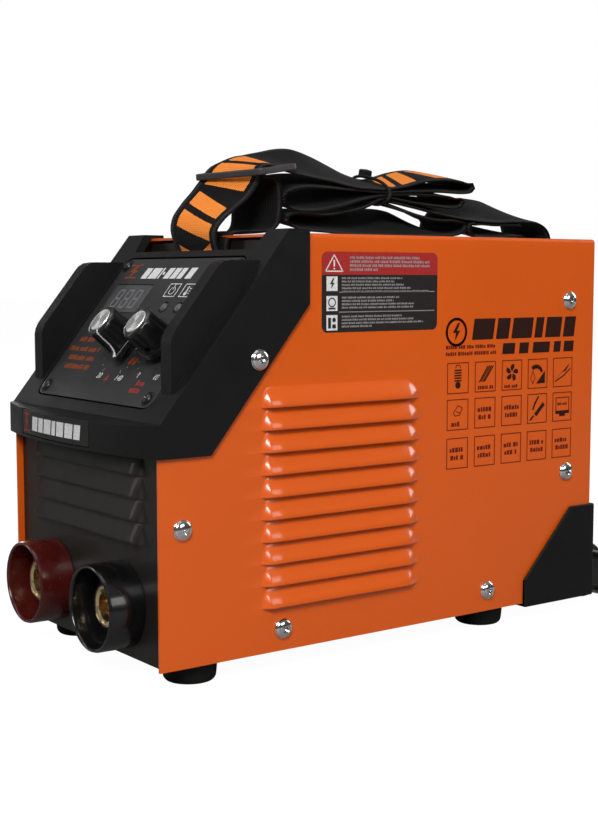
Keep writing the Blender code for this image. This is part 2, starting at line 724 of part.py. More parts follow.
# ================================================================ strap
# Centre line from the front anchor, through the buckle, over a hump, through the tied bundle
# and down to the rear anchor: y, z, half width, thickness, roll in degrees (right edge down)
STRAP_STATIONS = [
    (67.2, 171.6, 19, 1.6, 0), (66.4, 177.0, 19, 1.6, 0), (63.2, 182.5, 19, 1.6, 0),
    (61.8, 190.0, 19, 1.6, 0), (64.5, 198.0, 19, 1.6, 0), (72.0, 203.6, 19, 1.6, 0),
    (80.0, 207.6, 19, 1.6, 0), (85.0, 212.8, 19, 1.6, 0), (88.0, 218.6, 19, 1.6, 0),
    (95.0, 221.6, 19, 1.6, 3), (108.0, 224.0, 19, 1.8, 8), (120.0, 222.5, 19, 3.0, 14),
    (132.0, 217.5, 19, 9.0, 20), (150.0, 211.0, 18, 15.0, 18), (166.0, 206.5, 10.5, 10.0, 14),
    (174.0, 206.0, 10.5, 10.0, 14), (190.0, 207.5, 18, 17.0, 15), (212.0, 208.0, 19, 18.0, 14),
    (228.0, 205.5, 19, 12.0, 10), (244.0, 202.0, 19, 4.0, 6), (262.0, 197.5, 19, 3.0, 2),
    (271.5, 191.0, 19, 2.0, 0), (274.5, 182.0, 19, 1.6, 0), (273.5, 172.0, 19, 1.6, 0),
]
TIE_POINTS = 24


def carry_strap():
    """Folded shoulder strap; the tied bundle is one solid of the layers' outer shape."""
    path = [Vector((STRAP_X, y, z)) for y, z, *_ in STRAP_STATIONS]
    sections = []
    for i, (_, _, half, thick, roll) in enumerate(STRAP_STATIONS):
        direction = (path[min(i + 1, len(path) - 1)] - path[max(i - 1, 0)]).normalized()
        tilt = math.radians(roll)
        across = square_to(Vector((math.cos(tilt), 0, -math.sin(tilt))), direction)
        up = across.cross(direction)
        corners = ((-1, -1), (1, -1), (1, 1), (-1, 1))
        sections.append([tuple(path[i] + across * half * a + up * thick / 2 * b)
                         for a, b in corners])
    make("carry_strap", loft(sections), "webbing", smooth=40)


def strap_buckle():
    """Flat buckle with two slots."""
    frame = spun(at(CASE, STRAP_X, 91.0, 214.6), 13, "X")
    outline = rounded(-24.5, 24.5, -13.5, 13.5, 3.5, 3)
    buckle = make("strap_buckle", prism("Z", outline, -1.6, 1.6), "buckle", frame)
    slots = [block(-20.2, 20.2, low, high, -4, 4) for low, high in ((-10.4, -2.0), (2.0, 10.4))]
    cut(buckle, together(*slots), "slots", frame)


def strap_tie():
    """Closed rubber cord round the waist of the bundle."""
    ring = []
    for i in range(TIE_POINTS):
        angle = 2 * math.pi * i / TIE_POINTS
        ring.append(Vector((STRAP_X + 16.5 * math.cos(angle),
                            170.0 + 1.5 * math.sin(2 * angle),
                            206.0 + 10.5 * math.sin(angle) - 4.2 * math.cos(angle))))
    sections = []
    for i, point in enumerate(ring):
        direction = (ring[(i + 1) % TIE_POINTS] - ring[i - 1]).normalized()
        side = square_to(Vector((0, 1, 0)), direction)
        sections.append(round_section(point, direction, side, 1.1, 6))
    make("strap_tie", loft(sections, closed=True), "rubber", smooth=60)


def add_ears_and_bar(anchor, front, back, bottom, top, bar):
    """Two ears and the round bar between them that holds the strap; bar is its (y, z)."""
    inner, middle, outer = 23.0, 24.0, 25.0   # across the ear, from the strap's centre line
    for label, near, far in (("ear_left", -outer, -inner), ("ear_right", inner, outer)):
        ear = block(STRAP_X + near, STRAP_X + far, front, back, bottom, top)
        join(anchor, ear, label)
    join(anchor, rod("X", bar, 2.0, STRAP_X - middle, STRAP_X + middle, 12), "bar")


def strap_anchors():
    plate = block(-58.0, 58.0, 71.6, 73.1, 158.0, 182.6)
    anchor = make("strap_anchor_front", plate, "zinc")
    add_ears_and_bar(anchor, 61.0, 72.2, 164.0, 172.5, bar=(65.6, 168.2))

    half = 28.0
    plate = block(STRAP_X - half, STRAP_X + half, REAR_Y + GAP, REAR_Y + 1.8, 168.5, 181.0)
    anchor = make("strap_anchor_rear", plate, "zinc")
    add_ears_and_bar(anchor, REAR_Y + 1.0, 276.0, 163.0, 174.0, bar=(272.4, 167.3))


# ================================================================ fan
FAN_CENTRE = (FAN_X, FAN_Z)
FAN_HALF = 40.0
FAN_BACK = REAR_INNER_Y
FAN_FRONT = FAN_BACK - 25.0
BLADES = 7
BLADE_RADII = (13.0, 22.0, 30.0, 36.6)
BLADE_HALF_CHORD, BLADE_HALF_T = 7.2, 0.8
GUARD_Y = REAR_Y + GAP + 1.3            # middle of the guard's wires
GUARD_RINGS = [(29.0, 20), (20.0, 18), (11.0, 14)]   # inner rings: radius, segments


def fan_frame():
    """Square frame with a round duct, and struts to the motor seat at its front."""
    outline = rounded(FAN_X - FAN_HALF, FAN_X + FAN_HALF,
                      FAN_Z - FAN_HALF, FAN_Z + FAN_HALF, 4.0, 3)
    frame = make("fan_frame", prism("Y", outline, FAN_FRONT, FAN_BACK), "bezel_plastic")
    cut(frame, rod("Y", FAN_CENTRE, 38.2, FAN_FRONT - 2, FAN_BACK + 2, 40), "duct")
    for i, angle in enumerate(DIAGONALS):
        cos, sin = math.cos(angle), math.sin(angle)
        strut = [(FAN_X + out * cos + aside * sin, FAN_Z + out * sin - aside * cos)
                 for out, aside in ((12, -2), (39.5, -2), (39.5, 2), (12, 2))]
        join(frame, prism("Y", strut, FAN_FRONT + 0.2, FAN_FRONT + 3.0), f"strut_{i}")
    join(frame, rod("Y", FAN_CENTRE, 15.0, FAN_FRONT + 0.1, FAN_FRONT + 3.4, 24), "motor_seat")


def fan_blade(start):
    """One swept blade that flattens towards its tip; start is its root angle in degrees."""
    root, tip = BLADE_RADII[0], BLADE_RADII[-1]
    corners = [(a * BLADE_HALF_CHORD, b * BLADE_HALF_T)
               for a, b in ((-1, -1), (1, -1), (1, 1), (-1, 1))]
    sections = []
    for radius in BLADE_RADII:
        pitch = math.radians(52 - 16 * (radius - root) / (tip - root))
        sweep = math.radians(start + (radius - root) * 0.9)
        section = []
        for chord, thick in corners:
            along = chord * math.cos(pitch) - thick * math.sin(pitch)
            axial = chord * math.sin(pitch) + thick * math.cos(pitch)
            section.append((radius * math.cos(sweep) - along * math.sin(sweep), axial,
                            radius * math.sin(sweep) + along * math.cos(sweep)))
        sections.append(section)
    return loft(sections)


def fan_rotor():
    centre = at(CASE, FAN_X, (FAN_FRONT + FAN_BACK) / 2 + 1.0, FAN_Z)
    hub = [(0, -8.0), (15.5, -8.0), (15.5, 9.0), (14.5, 10.0), (0, 10.0)]   # (radius, y)
    shape = turned("Y", (0, 0), hub, 28)
    rotor = make("fan_rotor", shape, "bezel_plastic", centre, smooth=40)
    for i in range(BLADES):
        join(rotor, fan_blade(360 * i / BLADES), f"blade_{i}", centre)


def guard_ring(radius, segments):
    """Wire ring with a five-sided section."""
    wire = 1.0
    angles = [2 * math.pi * i / 5 for i in range(5)]
    profile = [(radius + wire * math.cos(a), GUARD_Y + wire * math.sin(a)) for a in angles]
    return turned("Y", FAN_CENTRE, profile, segments, closed=True)


def fan_guard():
    """Wire guard behind the rear panel: rings, four diagonal spokes and their end tabs."""
    guard = make("fan_guard", guard_ring(38.0, 22), "chrome", smooth=60)
    join(guard, together(*[guard_ring(*ring) for ring in GUARD_RINGS]), "rings")
    spokes, tabs = [], []
    tab_reach, tab_half_t = 44.0, 0.9
    for angle in DIAGONALS:
        cos, sin = math.cos(angle), math.sin(angle)
        path = [Vector((FAN_X + reach * cos, GUARD_Y + 0.25, FAN_Z + reach * sin))
                for reach in (9.0, 43.5)]
        spokes.append(tube(path, 0.95, 5))
        place = (FAN_X + tab_reach * cos, FAN_Z + tab_reach * sin)
        tabs.append(rod("Y", place, 3.8, GUARD_Y - tab_half_t, GUARD_Y + tab_half_t, 10))
    join(guard, together(*spokes), "spokes")
    join(guard, together(*tabs), "tabs")


# ================================================================ switch and cord
# Rocker outline (y, z) from its pivot
ROCKER_PROFILE = [(-8.0, -10.6), (1.5, -11.8), (3.6, -11.9), (2.6, 0.0),
                  (6.2, 10.9), (4.4, 11.5), (-6.0, 8.0), (-8.0, 2.0)]


def switch_block(half_x, half_z, front, back):
    """A block centred on the switch."""
    return block(SWITCH_X - half_x, SWITCH_X + half_x, front, back,
                 SWITCH_Z - half_z, SWITCH_Z + half_z)


def switch():
    """Mains rocker switch: housing through the rear panel, with the rocker in its well."""
    rim = rounded(SWITCH_X - 13.0, SWITCH_X + 13.0, SWITCH_Z - 16.0, SWITCH_Z + 16.0, 1.5, 2)
    shape = prism("Y", rim, REAR_Y + GAP, REAR_Y + 2.6)
    housing = make("switch_housing", shape, "knob_black")
    join(housing, switch_block(10.8, 13.8, REAR_Y - 22.0, REAR_Y + 1.0), "body")
    cut(housing, switch_block(9.6, 12.6, REAR_Y - 9.5, REAR_Y + 6.0), "well")
    pivot = at(CASE, SWITCH_X, REAR_Y - 1.0, SWITCH_Z)
    make("switch_rocker", prism("X", ROCKER_PROFILE, -9.2, 9.2), "knob_black", pivot)


# Gland outline: radius, distance behind the rear panel face
GLAND_PROFILE = [(8.0, -9.0), (8.0, 0.35), (11.5, 0.35), (11.5, 6.0),
                 (9.0, 10.0), (6.2, 13.0), (4.9, 13.0), (4.9, -9.0)]
CORD_HANG = [             # x from the gland, y, z from the gland
    (0.0, 240.0, 0.0), (0.0, 256.0, 0.0), (0.0, 272.0, 0.0), (1.0, 283.0, -4.0),
    (4.0, 288.5, -17.0), (9.0, 288.0, -36.0), (15.0, 285.5, -55.0),
]
PLUG_Y, PLUG_Z = 283.5, 5.5
CORD_END = [              # x from the gland, y, z
    (24.0, 284.0, 0.0), (35.0, PLUG_Y, 0.8), (45.0, PLUG_Y, 3.5), (54.0, PLUG_Y, PLUG_Z),
]
# Plug and pin outlines: radius, distance along the plug
PLUG_PROFILE = [(0, 0), (5.6, 0.0), (6.4, 8.0), (9.0, 12.0), (12.5, 20.0),
                (15.2, 24.0), (15.2, 36.0), (0, 36.0)]
PIN_PROFILE = [(0, 34.0), (2.4, 34.0), (2.4, 53.0), (1.4, 55.0), (0, 55.0)]


def cord_gland():
    shape = turned("Y", (GLAND_X, GLAND_Z), raised(GLAND_PROFILE, REAR_Y), 18, closed=True)
    make("cord_gland", shape, "rubber", smooth=40)


def power_cord():
    """The cord drops behind the case and its moulded two-pin plug rests on the floor."""
    points = [(GLAND_X + x, y, GLAND_Z + z) for x, y, z in CORD_HANG]
    points += [(GLAND_X + x, y, z) for x, y, z in CORD_END]
    cord = make("power_cord", tube(smooth_path(points, 3), 4.3, 8), "rubber", smooth=60)
    plug = at(CASE, GLAND_X + 50.0, PLUG_Y, PLUG_Z)
    join(cord, turned("X", (0, 0), PLUG_PROFILE, 20), "plug", plug)
    pins = [turned("X", (0.0, z), PIN_PROFILE, 8) for z in (-9.5, 9.5)]
    join(cord, together(*pins), "pins", plug)


# ================================================================ inside
CAPACITOR_PROFILE = [(0, 39.1), (15.0, 39.1), (15.0, 87.0), (14.0, 88.5), (0, 88.5)]   # (radius, z)


def boards():
    """Control board behind the slope and main board across the case."""
    control = block(-44.0, 50.0, 16.0, 78.0, -17.2, -15.6)
    make("control_board", control, "board_green", SLOPE)
    make("main_board", block(-56.0, 56.0, 62.0, 214.0, 37.0, 38.6), "board_green")


def heatsink():
    """Comb of nine fins hanging from a flat back, under the main board."""
    left, pitch, fin = -52.0, 12.6, 3.0
    top, root, tip = 36.4, 31.0, 6.0
    comb = [(left, top)]
    for i in range(9):
        x = left + i * pitch
        if i:
            comb.append((x, root))
        comb += [(x, tip), (x + fin, tip), (x + fin, root)]
    comb.append((left + 8 * pitch + fin, top))
    make("heatsink", prism("Y", comb, 66.0, 206.0), "aluminium")


def transformer():
    core = make("transformer", block(-30.0, 20.0, 80.0, 118.0, 39.2, 84.0), "ferrite")
    join(core, prism("X", rounded(71.0, 127.0, 46.0, 77.0, 6.0, 3), -22.0, 12.0), "winding")


def capacitor():
    shape = turned("Z", (34.0, 150.0), CAPACITOR_PROFILE, 24)
    make("capacitor_a", shape, "sleeve_blue", smooth=40)


PIECES = (
    base_tray, front_panel, rear_panel, case_cover, front_bezel, control_plate, badge_plate,
    display_window, lamps, knobs, sockets, rear_bumper, feet, carry_strap, strap_buckle,
    strap_tie, strap_anchors, side_screws, plate_screws, fan_frame, fan_rotor, fan_guard,
    switch, cord_gland, power_cord, boards, heatsink, transformer, capacitor,
)
for build in PIECES:
    build()
bpy.context.view_layer.update()
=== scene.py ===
"""A portable arc welder: folded orange cover, black louvred front, slanted control panel,
two sockets, a folded carrying strap, and a fan, switch and cord at the back.

The front faces -Y, the right side is +X and Z is up.  Lengths are in millimetres and
angles in degrees unless said otherwise.  Parts are drawn in the case frame (X from the
centre, Y from the front edge, Z from the bottom edge) or in the panel frame (X across,
Y up the slanted face, Z out of it)."""
import json
import math
from collections import namedtuple

import bmesh
import bpy
from mathutils import Matrix, Vector


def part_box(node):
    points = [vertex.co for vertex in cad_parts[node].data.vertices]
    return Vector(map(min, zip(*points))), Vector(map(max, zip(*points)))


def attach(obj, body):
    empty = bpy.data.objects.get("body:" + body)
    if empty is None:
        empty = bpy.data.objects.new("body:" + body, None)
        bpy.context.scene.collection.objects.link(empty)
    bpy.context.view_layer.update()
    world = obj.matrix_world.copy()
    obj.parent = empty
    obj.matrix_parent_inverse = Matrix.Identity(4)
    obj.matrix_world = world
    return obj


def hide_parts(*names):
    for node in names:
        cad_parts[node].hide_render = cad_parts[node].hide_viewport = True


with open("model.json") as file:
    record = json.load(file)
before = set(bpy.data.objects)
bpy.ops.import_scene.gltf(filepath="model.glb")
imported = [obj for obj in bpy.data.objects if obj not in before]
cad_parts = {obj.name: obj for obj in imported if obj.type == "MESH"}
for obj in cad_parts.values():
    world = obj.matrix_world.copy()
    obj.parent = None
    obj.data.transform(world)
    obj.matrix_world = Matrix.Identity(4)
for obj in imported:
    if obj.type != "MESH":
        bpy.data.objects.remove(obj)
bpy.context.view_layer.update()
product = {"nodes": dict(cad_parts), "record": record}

MM = 0.001
GAP = 0.3                                   # clearance between neighbouring pieces

# case
CASE_HALF, CASE_LEN, CASE_H = 68.0, 262.6, 185.0
SHEET = 1.2
INNER_HALF = CASE_HALF - SHEET - GAP        # half width of the sheets inside the cover
FRONT_Y, REAR_Y = 3.0, 259.6                # outer faces of the front and rear panels
ROOF_RADIUS = 2.0

# slanted face, rising to the rear from SLANT_Z at the front edge
SLANT_DEG, SLANT_Z = 51.14, 105.2
WALL = 4.0                                  # thickness of the bezel moulding
SLOPE = math.tan(math.radians(SLANT_DEG))
SLANT_SIN = math.sin(math.radians(SLANT_DEG))
SLANT_COS = math.cos(math.radians(SLANT_DEG))
BEZEL_HALF, BEZEL_TOP, BEZEL_BOTTOM = 70.0, 186.8, 90.6

# panel frame
LED_X, LED_Y = {"led_power": 10.4, "led_fault": 22.9}, 60.2
KNOB_X, KNOB_Y = {"current": 3.0, "arc": 34.9}, 38.0
KNOB_REST = {"current": -148.0, "arc": 118.0}
KNOB_BASE = 3.2                             # height of the knob's underside datum
PLATE_SCREWS = [(-47.5, 11.5), (47.5, 11.5), (-49.0, 84.5), (49.0, 84.5)]

# case frame
SOCKET_X, SOCKET_Z, SOCKET_R, SOCKET_RIM = 32.5, 23.0, 19.4, -14.4
FAN_X, FAN_Z, FAN_SIZE = 0.0, 126.0, 80.0
FAN_REAR = REAR_Y - SHEET - GAP
FAN_FRONT = FAN_REAR - 25.0
DIAGONALS = [math.radians(45 + 90 * i) for i in range(4)]
SWITCH_X, SWITCH_Z = 38.0, 67.0
GLAND_X, GLAND_Z = -38.0, 67.0
SIDE_SCREWS = {                             # (y, z)
    "lower_front": (11.4, 59.8), "bottom_front": (63.5, 9.9), "bottom_rear": (188.8, 10.3),
    "rear_lower": (243.6, 65.7), "rear_upper": (244.2, 153.8), "bezel": (49.7, 130.3),
}


def at(frame, x=0.0, y=0.0, z=0.0):
    return frame @ Matrix.Translation((x * MM, y * MM, z * MM))


def turn(degrees, axis):
    return Matrix.Rotation(math.radians(degrees), 4, axis)


cover_low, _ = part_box("case_cover")
CASE = Matrix.Translation((0.0, cover_low.y, cover_low.z))
PANEL = at(CASE, z=SLANT_Z) @ turn(SLANT_DEG, "X")


def slope_z(y, depth=0.0):
    """Height of the slanted face at y, or of a plane that far below it."""
    return SLANT_Z + (y - depth / SLANT_SIN) * SLOPE


def slope_y(z, depth=0.0):
    return (z - SLANT_Z) / SLOPE + depth / SLANT_SIN


def bow_y(x):
    """The bezel's lower front edge, bowed forward in the middle."""
    return -10.5 + 8.6 * (x / BEZEL_HALF) ** 2


# =====================================================================================
# materials: lengths in metres
# =====================================================================================
class Material:
    """A Principled material with helpers that add nodes and return their outputs."""

    def __init__(self, name, colour, rough, metal=0.0, coat=0.0, coat_rough=0.1, spec=0.5):
        self.data = bpy.data.materials.new(name)
        self.data.use_nodes = True
        self.tree = self.data.node_tree
        self.shader = self.tree.nodes["Principled BSDF"]
        self.data.diffuse_color = (*colour, 1)
        self.set(**{
            "Base Color": (*colour, 1), "Roughness": rough, "Metallic": metal,
            "Coat Weight": coat, "Coat Roughness": coat_rough, "Specular IOR Level": spec,
        })
        self.object_coordinates = None
        self.normal = None

    def set(self, **values):
        for name, value in values.items():
            self.shader.inputs[name].default_value = value

    def node(self, kind, **props):
        node = self.tree.nodes.new(kind)
        for key, value in props.items():
            setattr(node, key, value)
        return node

    def link(self, output, socket):
        self.tree.links.new(output, socket)

    def drive(self, name, output):
        self.link(output, self.shader.inputs[name])

    @property
    def coordinates(self):
        if self.object_coordinates is None:
            self.object_coordinates = self.node("ShaderNodeTexCoord").outputs["Object"]
        return self.object_coordinates

    def noise(self, scale, detail=2.0, rough=0.5, vector=None, stretch=None):
        node = self.node("ShaderNodeTexNoise")
        node.inputs["Scale"].default_value = scale
        node.inputs["Detail"].default_value = detail
        node.inputs["Roughness"].default_value = rough
        vector = vector or self.coordinates
        if stretch:
            mapping = self.node("ShaderNodeMapping")
            mapping.inputs["Scale"].default_value = stretch
            self.link(vector, mapping.inputs["Vector"])
            vector = mapping.outputs["Vector"]
        self.link(vector, node.inputs["Vector"])
        return node.outputs["Fac"]

    def math(self, operation, *values):
        node = self.node("ShaderNodeMath", operation=operation)
        for socket, value in zip(node.inputs, values):
            if isinstance(value, bpy.types.NodeSocket):
                self.link(value, socket)
            else:
                socket.default_value = value
        return node.outputs[0]

    def multiply(self, a, b):
        return self.math("MULTIPLY", a, b)

    def between(self, value, low, high):
        return self.multiply(self.math("GREATER_THAN", value, low),
                             self.math("LESS_THAN", value, high))

    def remap(self, value, span=(0.3, 0.7), to=(0.0, 1.0)):
        node = self.node("ShaderNodeMapRange", clamp=True)
        self.link(value, node.inputs["Value"])
        for key, number in zip(("From Min", "From Max", "To Min", "To Max"), span + to):
            node.inputs[key].default_value = number
        return node.outputs["Result"]

    def mix(self, factor, a, b):
        node = self.node("ShaderNodeMix", data_type="RGBA")
        self.link(factor, node.inputs["Factor"])
        for socket, value in ((node.inputs[6], a), (node.inputs[7], b)):
            if isinstance(value, tuple):
                socket.default_value = (*value, 1)
            else:
                self.link(value, socket)
        return node.outputs[2]

    def bump(self, height, strength, distance):
        """Adds a bump on top of those already there."""
        node = self.node("ShaderNodeBump")
        node.inputs["Strength"].default_value = strength
        node.inputs["Distance"].default_value = distance
        self.link(height, node.inputs["Height"])
        if self.normal is not None:
            self.link(self.normal, node.inputs["Normal"])
        self.normal = node.outputs["Normal"]
        self.drive("Normal", self.normal)

    def edge(self, radius=0.0007):
        """1 along edges and 0 on flats."""
        bevel = self.node("ShaderNodeBevel", samples=4)
        bevel.inputs["Radius"].default_value = radius
        geometry = self.node("ShaderNodeNewGeometry")
        dot = self.node("ShaderNodeVectorMath", operation="DOT_PRODUCT")
        self.link(bevel.outputs["Normal"], dot.inputs[0])
        self.link(geometry.outputs["Normal"], dot.inputs[1])
        return self.remap(dot.outputs["Value"], span=(0.985, 0.86))


def shade(colour, factor):
    return tuple(channel * factor for channel in colour)


def paint(name, colour, rough, coat, peel, grain=900.0, spec=0.35):
    """Powder coat: faint clouds in the colour and an orange-peel surface."""
    m = Material(name, colour, rough, coat=coat, coat_rough=0.12, spec=spec)
    cloud = m.noise(scale=9.0, detail=3.0)
    fine = m.noise(scale=140.0, detail=4.0)
    m.drive("Base Color", m.mix(m.remap(cloud), shade(colour, 0.965), shade(colour, 1.035)))
    m.drive("Roughness", m.remap(fine, to=(rough - 0.02, rough + 0.025)))
    m.bump(m.noise(scale=grain), strength=peel, distance=0.00005)
    return m.data


def plastic(name, colour, rough, grain=1500.0, depth=0.00006, strength=0.5, edge_highlight=0.0, spec=0.35):
    """Grained plastic; a painted highlight lightens spots along the edges."""
    m = Material(name, colour, rough, spec=spec)
    cloud = m.noise(scale=35.0, detail=4.0)
    base = m.mix(m.remap(cloud), shade(colour, 0.88), shade(colour, 1.14))
    # painted highlight: noisy spots along the edges are lightened, standing in for light caught by
    # the edges
    if edge_highlight:
        highlight_spots = m.remap(m.noise(scale=420.0, detail=4.0), span=(0.42, 0.66))
        base = m.mix(m.multiply(m.multiply(m.edge(), highlight_spots), edge_highlight), base, shade(colour, 3.2))
    m.drive("Base Color", base)
    m.drive("Roughness", m.remap(m.noise(scale=90.0, detail=3.0), to=(rough - 0.05, rough + 0.06)))
    m.bump(m.noise(scale=grain, detail=3.0, rough=0.65), strength=strength, distance=depth)
    return m.data


def gloss(name, colour, rough, coat=0.5, ripple=0.10):
    """Smooth moulding with swirled colour and a slow ripple."""
    m = Material(name, colour, rough, coat=coat, coat_rough=0.06)
    swirl = m.noise(scale=60.0, detail=5.0, rough=0.6)
    m.drive("Base Color", m.mix(m.remap(swirl, span=(0.35, 0.65)),
                                shade(colour, 0.82), shade(colour, 1.2)))
    m.drive("Roughness", m.remap(m.noise(scale=240.0, detail=3.0), to=(rough - 0.03, rough + 0.07)))
    m.bump(m.noise(scale=95.0), strength=ripple, distance=0.0002)
    m.bump(m.noise(scale=1600.0), strength=0.08, distance=0.00003)
    return m.data


def metal(name, colour, rough, scratch, rings=0.0, aniso=0.0):
    """Smudged metal, with turning rings about Z and a radial highlight if asked for."""
    m = Material(name, colour, rough, metal=1.0)
    smudge = m.noise(scale=180.0, detail=4.0)
    m.drive("Roughness", m.remap(smudge, to=(max(rough - 0.05, 0.02), rough + 0.1)))
    blotch = m.remap(m.noise(scale=320.0, detail=3.0), span=(0.35, 0.65))
    m.drive("Base Color", m.mix(blotch, shade(colour, 0.9), colour))
    if rings:
        wave = m.node("ShaderNodeTexWave", wave_type="RINGS", rings_direction="Z")
        wave.inputs["Scale"].default_value = rings
        wave.inputs["Distortion"].default_value = 0.4
        wave.inputs["Detail"].default_value = 2.0
        m.link(m.coordinates, wave.inputs["Vector"])
        m.bump(wave.outputs["Fac"], strength=0.25, distance=0.00002)
    if aniso:
        tangent = m.node("ShaderNodeTangent", direction_type="RADIAL", axis="Z")
        m.drive("Tangent", tangent.outputs[0])
        m.set(Anisotropic=aniso)
    m.bump(m.noise(scale=900.0, stretch=(1.0, 1.0, 0.12)), strength=scratch, distance=0.00002)
    return m.data


def ink(name, colour, rough=0.42):
    m = Material(name, colour, rough, spec=0.2)
    speckle = m.remap(m.noise(scale=1200.0, detail=3.0), span=(0.35, 0.7))
    m.drive("Base Color", m.mix(speckle, shade(colour, 0.8), shade(colour, 1.1)))
    m.drive("Roughness", m.remap(m.noise(scale=500.0), to=(rough - 0.06, rough + 0.08)))
    m.bump(m.noise(scale=1500.0), strength=0.12, distance=0.00002)
    return m.data


ORANGE = paint("orange_powder_coat", (0.74, 0.106, 0.003), rough=0.32, coat=0.7, peel=0.05)
BLACK_PAINT = paint("black_powder_coat", (0.0120, 0.0100, 0.0078), rough=0.47, coat=0.13,
                    peel=0.08, grain=1300.0, spec=0.25)
# the bezel and the plate get a painted highlight along their edges
BEZEL = plastic("bezel_moulded", (0.0085, 0.0082, 0.0084), rough=0.42, grain=1700.0,
                depth=0.00008, edge_highlight=0.22, spec=0.15)
PLATE = plastic("plate_film", (0.027, 0.026, 0.028), rough=0.38, grain=2200.0,
                depth=0.00003, strength=0.35, edge_highlight=0.2)
BADGE = plastic("badge_film", (0.007, 0.0066, 0.0062), rough=0.34, grain=2000.0,
                depth=0.00003, strength=0.3)
WINDOW = gloss("display_lens", (0.070, 0.070, 0.072), rough=0.16, coat=0.2, ripple=0.0)
LENS = gloss("led_lens", (0.085, 0.082, 0.085), rough=0.50, coat=0.05, ripple=0.02)
KNOB = gloss("knob_gloss", (0.0042, 0.0042, 0.0045), rough=0.34, coat=0.12, ripple=0.05)
CAP = metal("cap_spun_aluminium", (0.90, 0.89, 0.88), rough=0.30, scratch=0.05,
            rings=2600.0, aniso=0.8)
RED_COLLAR = gloss("collar_red_brown", (0.052, 0.0045, 0.0030), rough=0.22, coat=0.2,
                   ripple=0.01)
BLACK_COLLAR = gloss("collar_black", (0.0040, 0.0038, 0.0040), rough=0.20, coat=0.3, ripple=0.01)
BRASS = metal("brass_turned", (0.88, 0.68, 0.38), rough=0.22, scratch=0.06)
CHROME = metal("screw_chrome", (0.80, 0.79, 0.78), rough=0.10, scratch=0.08)
ZINC = metal("zinc_plate", (0.62, 0.62, 0.63), rough=0.34, scratch=0.3)
WIRE = metal("guard_wire", (0.66, 0.66, 0.67), rough=0.22, scratch=0.15)
RUBBER = plastic("foot_rubber", (0.0065, 0.0060, 0.0058), rough=0.62, grain=1100.0,
                 depth=0.00009, strength=0.6, spec=0.2)
CORD = plastic("cord_rubber", (0.014, 0.014, 0.014), rough=0.55, grain=900.0, strength=0.4)
# the buckle gets a painted highlight along its edges
BUCKLE = plastic("buckle_nylon", (0.040, 0.040, 0.044), rough=0.36, depth=0.00005,
                 strength=0.4, edge_highlight=0.2)
FAN_PLASTIC = plastic("fan_plastic", (0.012, 0.012, 0.0125), rough=0.38, grain=1400.0,
                      depth=0.00004)
BOARD = plastic("solder_mask", (0.012, 0.085, 0.03), rough=0.38, grain=700.0, depth=0.00008)
FINS = metal("extruded_aluminium", (0.62, 0.62, 0.63), rough=0.38, scratch=0.4)
FERRITE = plastic("ferrite", (0.035, 0.033, 0.032), rough=0.55, grain=800.0, depth=0.0001)
SLEEVE = gloss("capacitor_sleeve", (0.012, 0.035, 0.14), rough=0.28)
INK_WHITE = ink("ink_white", (0.72, 0.72, 0.72))
INK_GREY = ink("ink_grey", (0.30, 0.29, 0.29))
INK_SEGMENT = ink("display_segment", (0.165, 0.165, 0.175), rough=0.3)
INK_ORANGE = ink("ink_orange", (0.24, 0.050, 0.012))
INK_DARK = ink("ink_dark_brown", (0.026, 0.0050, 0.0022), rough=0.5)
LABEL_DARK = ink("label_dark", (0.024, 0.020, 0.019), rough=0.36)
LABEL_RED = ink("label_red", (0.42, 0.030, 0.028), rough=0.36)
INK_PALE = ink("label_white", (0.80, 0.80, 0.79), rough=0.4)
INK_RED = ink("ink_dark_red", (0.150, 0.0125, 0.0045))
INK_MARK_RED = ink("ink_mark_red", (0.30, 0.035, 0.020))


def woven_pattern(m, uv, across_uv, along_uv, weave, thread, dark):
    """Lays orange bars, a chevron and leaning blocks over the dark webbing."""
    bright = m.mix(m.remap(m.multiply(weave, m.remap(thread, span=(0.2, 0.8), to=(0.6, 1.1))),
                           span=(0.05, 0.7)), (0.62, 0.125, 0.016), (1.0, 0.31, 0.045))
    off_centre = m.math("ABSOLUTE", m.math("SUBTRACT", across_uv, 0.5))
    # a little noise makes the pattern's edges ragged
    ragged = m.math("SUBTRACT", m.noise(scale=60.0, detail=1.0, vector=uv), 0.5)
    jag = m.multiply(ragged, 0.012)
    inside = m.math("LESS_THAN", m.math("ADD", off_centre, jag), 0.355)
    period = 1.72                           # repeat length, in strap widths
    phase = m.math("ADD", m.math("FRACT", m.math("DIVIDE", along_uv, period)), jag)
    bar = m.between(phase, 0.015, 0.235)
    chevron = m.math("ADD", phase, m.multiply(off_centre, -0.26))
    peak = m.multiply(m.between(chevron, 0.20, 0.41), m.math("GREATER_THAN", phase, 0.275))
    lean = m.math("ADD", phase, m.multiply(m.math("SUBTRACT", across_uv, 0.5), 0.16))
    first = m.between(lean, 0.575, 0.70)
    second = m.between(lean, 0.755, 0.885)
    shape = m.math("MAXIMUM", m.math("MAXIMUM", bar, peak), m.math("MAXIMUM", first, second))
    woven = m.node("ShaderNodeAttribute", attribute_name="woven").outputs["Fac"]
    mask = m.multiply(m.multiply(shape, inside), m.math("GREATER_THAN", woven, 0.5))
    m.drive("Base Color", m.mix(mask, dark, bright))
    m.drive("Roughness", m.remap(mask, span=(0.0, 1.0), to=(0.82, 0.62)))


